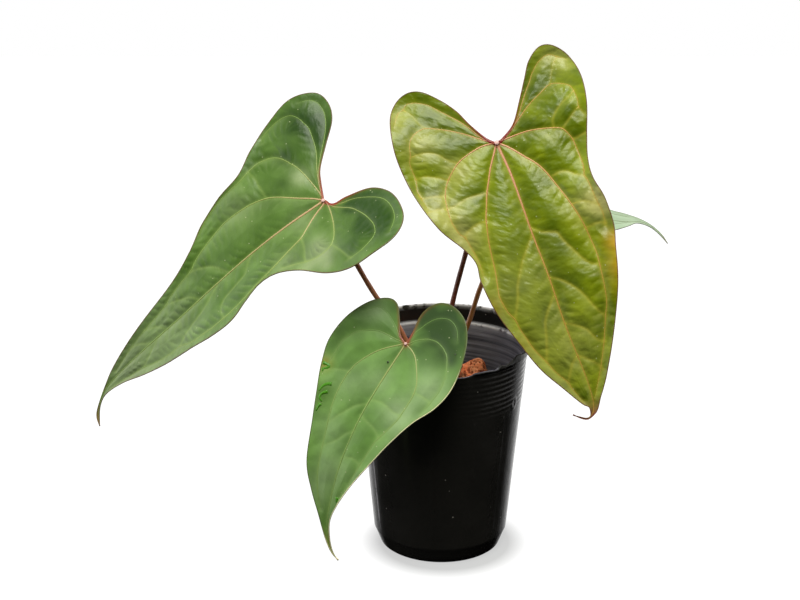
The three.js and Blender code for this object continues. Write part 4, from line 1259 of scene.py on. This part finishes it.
def pot_wall():
    """Rows of heights up the outside and down the inside, each row turned about the axis. A point is
    (r sin a, -r cos a, z), with r from the profile, plus rings and marks. Above SQUEEZE_FROM, heights
    keep their share of the way up to the tear. Wear with painted highlights, and the tear, are bells
    of the depth below the rim, with one more at the ledge inside and one across a leaning pale streak
    that is a painted highlight."""
    turn = np.linspace(-180, 180, POT_AROUND, endpoint=False)[None, :]
    rows_up = [[0, 0.8, 4, 8, 11, 12.2], np.linspace(13, 106, 14), np.arange(108, 144, 0.6), LIP_ROWS]
    rows_down = [THROAT_ROWS, np.arange(143.4, 108, -0.7), [100, 80, 60, 40, 20, 12.2, 1.9]]
    up, down = np.concatenate(rows_up), np.concatenate(rows_down)
    top = tear_height(turn)

    def squeezed(z):
        share = ramp(z, SQUEEZE_FROM, POT_TOP)
        return np.where(z > SQUEEZE_FROM, SQUEEZE_FROM + share * (top - SQUEEZE_FROM), z)

    z_out, z_in = squeezed(up[:, None]), squeezed(down[:, None])
    outer_r, outer_z = np.array(OUTER).T
    inner_r, inner_z = np.array(INNER).T
    strong = 0.04 + 0.09 * ramp(np.abs(turn), 20, 65)
    r_out = np.interp(z_out, outer_z, outer_r) + rings(z_out, 110, 145.5, 3.7, strong, turn)
    r_out = r_out + mould_marks(turn, z_out)
    r_in = np.interp(z_in, inner_z, inner_r) + rings(z_in, 108, 146, 2.9, 0.035, turn)
    z, r = np.concatenate([z_out, z_in]), np.concatenate([r_out, r_in])
    a = np.radians(turn)
    points = np.stack([r * np.sin(a), -r * np.cos(a), z], -1).reshape(-1, 3)
    inside = np.repeat([0.0, 1.0], [len(up), len(down)])[:, None] + 0 * z
    whole = np.where(top > POT_TOP - 1, 1.0, 0)
    # Wear on the whole lip and at the ledge inside, with painted highlights along them.
    rim = whole * (bell(top - z, 1.3) + inside * bell(z - LEDGE_INSIDE, 1.0))
    # A leaning pale streak down the side, painted as a highlight.
    highlight_streak = bell(turn - HIGHLIGHT_STREAK_TURN + 0.02 * z, 0.7) * ramp(z, 18, 26) * ramp(z, 80, 60)
    fields = {"inside": ramp(z, 149, 147) * inside, "wear_and_highlight": np.clip(rim + 0.65 * highlight_streak, 0, 1),
              "torn": (1 - whole) * bell(top - z, 0.4)}
    faces = grid_faces(len(up) + len(down), POT_AROUND, closed=True)
    return points, faces, {key: values.ravel() for key, values in fields.items()}


print("the pot's wall:", len(pot_wall()[0]), "points")

# %% [markdown]
# ## The pot's base
# Six round drain holes are set in a ring. Each sixth of the base is a grid stretched from its hole's
# circle to the four sides of its sector, so the holes are true circles and the sectors meet. Holes
# cut from a plain disc would be bordered by long thin triangles, which shade badly.

# %% Lay out the base with its drain holes
HOLE_CIRCLE = 31
HOLE_RADIUS = 4
SECTOR_HALF = 9
BASE_THICKNESS = 1.9
INNER_FOOT = 42.7
SECTOR_STEPS = POT_AROUND // 6


def sector(number, z, flip):
    """Points p = hole + (side - hole) s, with s from 0 on the hole's rim to 1 on the sector's side."""
    v = np.linspace(-1, 1, SECTOR_STEPS, endpoint=False)
    one = np.ones(SECTOR_STEPS)
    su = np.concatenate([one, -v, -one, v])
    sv = np.concatenate([v, one, -v, -one])
    middle = np.radians(60 * number + 30)
    radius, angle = HOLE_CIRCLE + SECTOR_HALF * su, middle + np.radians(30) * sv
    side = np.stack([radius * np.cos(angle), radius * np.sin(angle)], -1)
    around = np.arctan2(sv, su) + middle
    centre = HOLE_CIRCLE * np.array([np.cos(middle), np.sin(middle)])
    hole = centre + HOLE_RADIUS * np.stack([np.cos(around), np.sin(around)], -1)
    s = np.linspace(0, 1, 4)[:, None, None]
    flat = hole + (side - hole) * s
    points = np.concatenate([flat, np.full(flat.shape[:2] + (1,), float(z))], -1).reshape(-1, 3)
    faces = grid_faces(4, len(su), closed=True)
    return points, faces if flip else faces[:, ::-1]


def turned(profile, flip=False):
    """A profile of (radius, height) turned about the axis, at the same steps as the wall."""
    a = np.radians(np.linspace(-180, 180, POT_AROUND, endpoint=False))[None, :]
    r, z = np.array(profile, float).T[:, :, None]
    points = np.stack([r * np.sin(a), -r * np.cos(a), z + 0 * a], -1).reshape(-1, 3)
    faces = grid_faces(len(profile), POT_AROUND, closed=True)
    return points, faces[:, ::-1] if flip else faces


def weld(points, faces, fields):
    """Points in the same place become one, and faces that lose their area go."""
    _, first, number = np.unique(np.round(points, 3), axis=0, return_index=True, return_inverse=True)
    faces = with_area(number.ravel()[faces])
    return points[first], faces, {key: values[first] for key, values in fields.items()}


def hole_wall(number):
    """The short wall of one drain hole between the two faces of the base."""
    low, _ = sector(number, 0, False)
    high, _ = sector(number, BASE_THICKNESS, False)
    count = 4 * SECTOR_STEPS
    return np.concatenate([high[:count], low[:count]]), grid_faces(2, count, closed=True)


def make_pot():
    """The wall, six sectors and hole walls, and two discs and two rings that fill up the base."""
    near, far = HOLE_CIRCLE - SECTOR_HALF, HOLE_CIRCLE + SECTOR_HALF
    floor = BASE_THICKNESS
    plain = [turned([(near, 0), (8, 0), (0, 0)], True), turned([(far, 0), (43, 0)]),
             turned([(near, floor), (8, floor), (0, floor)]),
             turned([(INNER_FOOT, floor), (far, floor)])]
    for number in range(6):
        plain += [sector(number, 0, False), sector(number, floor, True), hole_wall(number)]
    parts = [pot_wall()]
    for points, faces in plain:
        above = (points[:, 2] > 1).astype(float)
        parts.append((points, faces, {"inside": above, "wear_and_highlight": 0 * above, "torn": 0 * above}))
    points, faces, fields = weld(*join(parts))
    return build("nursery_pot", points, faces, black_plastic, "pot", fields)


make_pot()

# %% [markdown]
# ## The lava rock
# One piece of porous orange lava rock lies on the growing medium. It is a ball pushed in and out by
# crossing waves, as in the solid, with finer noise added. Gas bubbles left round pits in the real
# stone: the larger ones are pressed into the mesh, and the smallest are bump, and all of them get a
# dark red painted shade. Cutting each pit with a boolean would take minutes and leave a ragged mesh.

# %% Lumps and pits


def lump(way, half_size, seed, depth, rough, grain):
    """A ball of directions, scaled by 1 + depth times two crossing waves, plus rough times noise."""
    x, y, z = way.T
    wave = (np.sin(3.1 * x + seed) * np.sin(2.7 * y + 2 * seed)
            + np.sin(4.3 * z + 3 * seed) * np.cos(3.7 * x - seed))
    swell = 1 + depth * wave + rough * ripple(x, y, grain, int(seed * 10) + 1, z)
    return way * swell[:, None] * np.asarray(half_size)


def about_z(points, angle):
    """Points turned about the upright axis."""
    c, s = np.cos(angle), np.sin(angle)
    return points @ np.array([[c, s, 0], [-s, c, 0], [0, 0, 1]])


def rock_skin():
    """Two oranges in soft clouds, and dark red painted shade in the pits, both the modelled and the
    smallest ones.
    """
    material, tree, shader, where = finish("lava_rock_skin", Roughness=0.95, Specular_IOR_Level=0.1)
    cloud = noise(tree, where, 170, 5)
    pits = cells(tree, where, 520)
    # The two dark reds are painted shade in the pits.
    base = coats(tree, "ff7c4c",
                 (spread(tree, cloud, 0.3, 0.7), "ffb484"),
                 (field(tree, "pit"), "6c2814"),
                 (spread(tree, pits, 0.28, 0.1, 0, 0.6), "7a3418"))
    surface(tree, shader, base, math(tree, "ADD", pits, cloud), 0.0008)
    return material


# %% The rock and its pits
PIT_COUNT = 170
PIT_DEPTH = 0.085
ROCK_HALF_SIZE = (10.5, 11, 13)
ROCK_PLACE = (24, 13, 121)


def make_rock():
    """A pit is exp(-(angle from its middle / its width) to the fourth), and the deepest one counts."""
    way, faces = ball(220, 110)
    dice = np.random.default_rng(12)
    seeds = unit(dice.normal(size=(PIT_COUNT, 3)))
    wide = dice.uniform(0.05, 0.17, PIT_COUNT)
    apart = np.arccos(np.clip(way @ seeds.T, -1, 1))
    pit = np.exp(-(apart / wide) ** 4).max(1)
    points = lump(way, ROCK_HALF_SIZE, 1.7, 0.13, 0.02, 0.5) * (1 - PIT_DEPTH * pit)[:, None]
    points = about_z(points, 0.35) + np.array(ROCK_PLACE)
    # How deep in a pit each point lies, which sets the painted shade there.
    fields = {"pit": pit ** 2 * 0.8}
    return build("lava_rock_piece", points, faces, rock_skin(), "lava_rock", fields)


make_rock()

# %% [markdown]
# ## The growing medium
# The plant grows in a loose airy mix of bark and grit. Its bed is a disc with a rough top, closed
# below, and on it lie larger chunks in a sunflower spiral, which spreads them evenly, and small
# chips thrown at random with a fixed seed. All are the same kind of lump as the rock. Particles
# could scatter them too, but the export needs one plain mesh.

# %% The finish of the mix
BED_HEIGHT = 107
CROWN_CENTRE = np.array([-3, 1])
CROWN_CLEARANCE = 9.4
BED_AROUND = 120


def medium_skin():
    """Dark browns in clouds, lighter fibres, and a pale grey on the few pieces of grit."""
    material, tree, shader, where = finish("bark_mix", Roughness=0.95)
    cloud = noise(tree, where, 90, 5)
    fibre = fibres(tree, where, (220, 700, 220))
    base = coats(tree, "120d09",
                 (spread(tree, cloud, 0.35, 0.65), "3a2819"),
                 (spread(tree, fibre, 0.5, 0.7, 0, 0.6), "5c432c"),
                 (field(tree, "pale"), "9c9080"))
    surface(tree, shader, base, math(tree, "ADD", cloud, fibre), 0.0015)
    return material


# %% The bed, and what may lie on it


def wall_inside(z):
    """Radius that the filling may reach at a height, clear of the pot's inner wall."""
    return np.interp(z, [2.2, 12.2, 147.3], [42.0, 46.5, 59.0])


def bed():
    """The mix itself: a rough top, the bed's height plus noise, that meets the wall, closed by a wall
    and a floor."""
    a = np.linspace(0, 2 * np.pi, BED_AROUND, endpoint=False)[None, :]
    share = np.linspace(0, 1, 36)[:, None]
    r = share * wall_inside(BED_HEIGHT)
    x, y = r * np.cos(a), r * np.sin(a)
    z = BED_HEIGHT - 0.8 + 0.9 * ripple(x, y, 9, 21) + 0.5 * ripple(x, y, 4, 22)
    top = np.stack([x, y, z], -1)
    low = [np.stack([wall_inside(h) * k * np.cos(a), wall_inside(h) * k * np.sin(a), h + 0 * a], -1)
           for h, k in ((60, 1), (12.2, 1), (2.2, 1), (2.2, 0))]
    points = np.concatenate([top] + low)
    return points.reshape(-1, 3), grid_faces(len(points), BED_AROUND, closed=True)


def kept_inside(points):
    """Points that would pass the pot's wall or enter the crown are moved straight out or in."""
    r = np.hypot(points[:, 0], points[:, 1])
    scale = np.minimum(1, wall_inside(points[:, 2]) / np.maximum(r, 1e-6))
    points = points * np.stack([scale, scale, np.ones_like(scale)], 1)
    away = points[:, :2] - CROWN_CENTRE
    push = np.maximum(1, CROWN_CLEARANCE / np.maximum(np.hypot(*away.T), 1e-6))
    points[:, :2] = CROWN_CENTRE + away * push[:, None]
    return points


print("room inside the wall at the bed's height in mm:", wall_inside(BED_HEIGHT).round(1))

# %% Chunks and chips
CHUNKS = 38
CHIPS = 150
GRIT_SHARE = 0.12


def make_medium():
    """Chunk i lies at a radius that grows as the root of i, turned by the golden angle each time. A
    chip's place is even over the disc, because its radius is the root of an even draw."""
    points, faces = bed()
    parts = [(points, faces, {"pale": np.zeros(len(points))})]
    way, chunk_faces = ball(28, 18)
    for i in range(CHUNKS):
        r, a = 54 * np.sqrt((i + 0.7) / CHUNKS), i * np.pi * (3 - np.sqrt(5))
        size = 6.2 + 2.2 * np.sin(5.1 * i)
        chunk = lump(way, (1.25 * size, size, 0.9 * size), 1.9 * i, 0.12, 0.05, 0.5)
        z = BED_HEIGHT - 1.5 + 1.5 * np.sin(3.7 * i)
        chunk = kept_inside(about_z(chunk, 2.3 * i) + np.array([r * np.cos(a), r * np.sin(a), z]))
        parts.append((chunk, chunk_faces, {"pale": np.zeros(len(chunk))}))
    dice = np.random.default_rng(31)
    way, chip_faces = ball(10, 7)
    for i in range(CHIPS):
        r, a = 56 * np.sqrt(dice.uniform()), dice.uniform(0, 2 * np.pi)
        size = dice.uniform(0.9, 2.6)
        chip = lump(way, size * dice.uniform(0.5, 1.3, 3), 0.7 * i, 0.18, 0.08, 0.7)
        lie = (r * np.cos(a), r * np.sin(a), BED_HEIGHT + dice.uniform(-0.5, 3.0))
        chip = kept_inside(about_z(chip, dice.uniform(0, 6)) + np.array(lie))
        pale = float(dice.uniform() < GRIT_SHARE)
        parts.append((chip, chip_faces, {"pale": np.full(len(chip), pale)}))
    points, faces, fields = join(parts)
    node = "growing_medium"
    return build("bark_mix", points, faces, medium_skin(), node, fields)


make_medium()

# %% [markdown]
# ## The crown
# The stalks grow from a short upright stem that stands in the medium. It is hidden here by leaves
# and stalks, so it is a guess: brown, ringed with the scars of older leaves, as wide as the stalks
# need. A profile turned about its axis is enough.

# %% Turn the crown
CROWN_FOOT = 62
CROWN_SHOULDER = 118.4
CROWN_AROUND = 96
JOINT_PITCH = 7.7


def crown_skin():
    """Two browns in long fibres, and a paler one at the scars."""
    material, tree, shader, where = finish("crown_bark", Roughness=0.8)
    fibre = fibres(tree, where, (700, 700, 90))
    base = coats(tree, "2c1d12",
                 (spread(tree, fibre, 0.35, 0.65), "7a5c3a"),
                 (field(tree, "scar"), "b09468"))
    surface(tree, shader, base, fibre, 0.001)
    return material


def make_crown():
    """Turned about its own axis, with a radius of 8.1 + 0.8 |sin| up the stem, a little noise, and a
    rounded top. The pale scars are bells at the noughts of that sine."""
    a = np.linspace(0, 2 * np.pi, CROWN_AROUND, endpoint=False)[None, :]
    z = np.concatenate([np.linspace(CROWN_FOOT, CROWN_SHOULDER, 110), [118.8, CROWN_TOP]])[:, None]
    joint = np.abs(np.sin(np.pi * (z - 64) / JOINT_PITCH))
    r = 8.1 + 0.8 * joint + 0.12 * ripple(8 * np.cos(a), 8 * np.sin(a), 5, 41, z)
    r = np.minimum(r, 9.0) - 0.5 * ramp(z, CROWN_SHOULDER, CROWN_TOP)
    x, y = CROWN_CENTRE
    side = np.stack([x + r * np.cos(a), y + r * np.sin(a), z + 0 * a], -1)
    foot, top = [np.stack([x + 0 * a, y + 0 * a, h + 0 * a], -1) for h in (CROWN_FOOT, CROWN_TOP)]
    points = np.concatenate([foot, side, top])
    scar = np.concatenate([[[0.0]], bell(joint, 0.3), [[0.2]]]) + 0 * a
    faces = grid_faces(len(points), CROWN_AROUND, closed=True)
    points, faces, fields = weld(points.reshape(-1, 3), faces, {"scar": scar.ravel()})
    return build("stem_crown", points, faces, crown_skin(), "crown", fields)


make_crown()

# %% [markdown]
# ## Floor
# The plant stands on a plain white floor that runs on into a white surround, as in a small photo
# studio. The floor glows by itself, so it is evenly white, with a soft shade drawn round the pot's
# foot. A lit white sheet would do too, but it would turn grey away from the lamp.

# %% Lay the floor
FLOOR_HALF = 3.0
SHADE_CENTRE = (0.003, -0.007, 0)
SHADE_OUTER = 0.0625
SHADE_INNER = 0.047
SHADE_DEPTH = 0.45


def make_floor():
    """A white sheet that glows, like the top of a light table. Its glow is 1, less a shade that grows
    towards the pot's foot. It throws no light up at the plant, and no reflection shows it."""
    corners = [(FLOOR_HALF * x, FLOOR_HALF * y, 0) for x, y in ((-1, -1), (1, -1), (1, 1), (-1, 1))]
    mesh = bpy.data.meshes.new("floor")
    mesh.from_pydata(corners, [], [(0, 1, 2, 3)])
    floor = bpy.data.objects.new("floor", mesh)
    bpy.context.scene.collection.objects.link(floor)
    material, tree, shader, where = finish("floor_white", Base_Color=(0.1, 0.1, 0.1, 1), Roughness=0.9,
                                           Emission_Color=(1, 1, 1, 1))
    away = put(tree, "VectorMath", {0: where, 1: SHADE_CENTRE}, operation="DISTANCE").outputs["Value"]
    shade = math(tree, "MULTIPLY", spread(tree, away, SHADE_OUTER, SHADE_INNER), SHADE_DEPTH)
    glow = math(tree, "SUBTRACT", 1.0, shade)
    tree.links.new(glow, shader.inputs["Emission Strength"])
    mesh.materials.append(material)
    floor.visible_diffuse = False
    floor.visible_glossy = False
    return floor


print("floor:", make_floor().dimensions[:2], "metres")

# %% [markdown]
# ## Light
# One broad lamp overhead, a little in front, gives the leaves their soft light from above. The rest
# comes from the surround, which is bright at the back and the left, where the window is, and dim in
# front, at the right and below, where the room and the bench are. Gloss sees a surround of its own:
# a bright wall at the left, one at the right and one behind give the leaves their sheen and the pot
# its bright edges. Broad lights make soft shadows, and small ones would make hard spots.

# %% Hang the lamp
LAMP_PLACE = (0.09, -0.6, 1.73)
LAMP_AIM = (0, 0, 0.25)
LAMP_SIZE = (0.7, 1.3)
LAMP_POWER = 34
LAMP_COLOUR = (0.98, 1.0, 0.9)


def make_light():
    """A lamp looks down its own -Z, so it is tipped by the angle between straight down and the way to
    its aim, and then turned to face that way."""
    data = bpy.data.lights.new("top_light", "AREA")
    data.shape = "RECTANGLE"
    data.size, data.size_y = LAMP_SIZE
    data.energy = LAMP_POWER
    data.color = LAMP_COLOUR
    light = bpy.data.objects.new("top_light", data)
    light.location = LAMP_PLACE
    way = np.array(LAMP_AIM, float) - np.array(LAMP_PLACE, float)
    tip = np.arctan2(np.hypot(way[0], way[1]), -way[2])
    light.rotation_euler = (tip, 0, np.arctan2(-way[0], way[1]))
    bpy.context.scene.collection.objects.link(light)
    return light


# %% Paint the surround


def make_surround():
    """Full white for the eye. For the light it is a ramp over Y less three quarters of X, dimmer below
    the level. For gloss it is the sum of a wall at the left, one at the right and one behind, each a
    ramp over X or Y, and each held between two heights."""
    world = bpy.data.worlds.new("surround")
    world.use_nodes = True
    tree = world.node_tree
    way = put(tree, "SeparateXYZ", {0: tree.nodes.new("ShaderNodeTexCoord").outputs["Generated"]})
    x, y, z = way.outputs
    leftward = put(tree, "Math", {0: x, 1: -0.75, 2: y}, operation="MULTIPLY_ADD").outputs[0]
    room = math(tree, "MULTIPLY", spread(tree, leftward, -0.5, 0.4, 0.05, 1.0),
                spread(tree, z, -0.25, 0.1, 0.2, 1.0))
    walls = math(tree, "ADD", spread(tree, x, -0.85, -0.45, 2.2, 0.0),
                 spread(tree, x, 0.6, 0.9, 0.03, 1.5))
    for height in (spread(tree, z, 0.6, 0.85, 1.0, 0.0), spread(tree, z, -0.4, -0.1, 0.0, 1.0)):
        walls = math(tree, "MULTIPLY", walls, height)
    behind = math(tree, "MULTIPLY", spread(tree, y, 0.45, 0.85), spread(tree, z, -0.6, -0.4, 0.0, 1.2))
    walls = math(tree, "ADD", walls, behind)
    ray = tree.nodes.new("ShaderNodeLightPath").outputs
    for kind, seen in (("Is Glossy Ray", walls), ("Is Camera Ray", 1.0)):
        room = put(tree, "Mix", {0: ray[kind], 2: room, 3: seen}, data_type="FLOAT").outputs[0]
    background = tree.nodes["Background"]
    tree.links.new(room, background.inputs["Strength"])
    background.inputs["Color"].default_value = (1, 1, 1, 1)
    bpy.context.scene.world = world


make_surround()
make_light()
bpy.context.scene.view_settings.view_transform = "Standard"
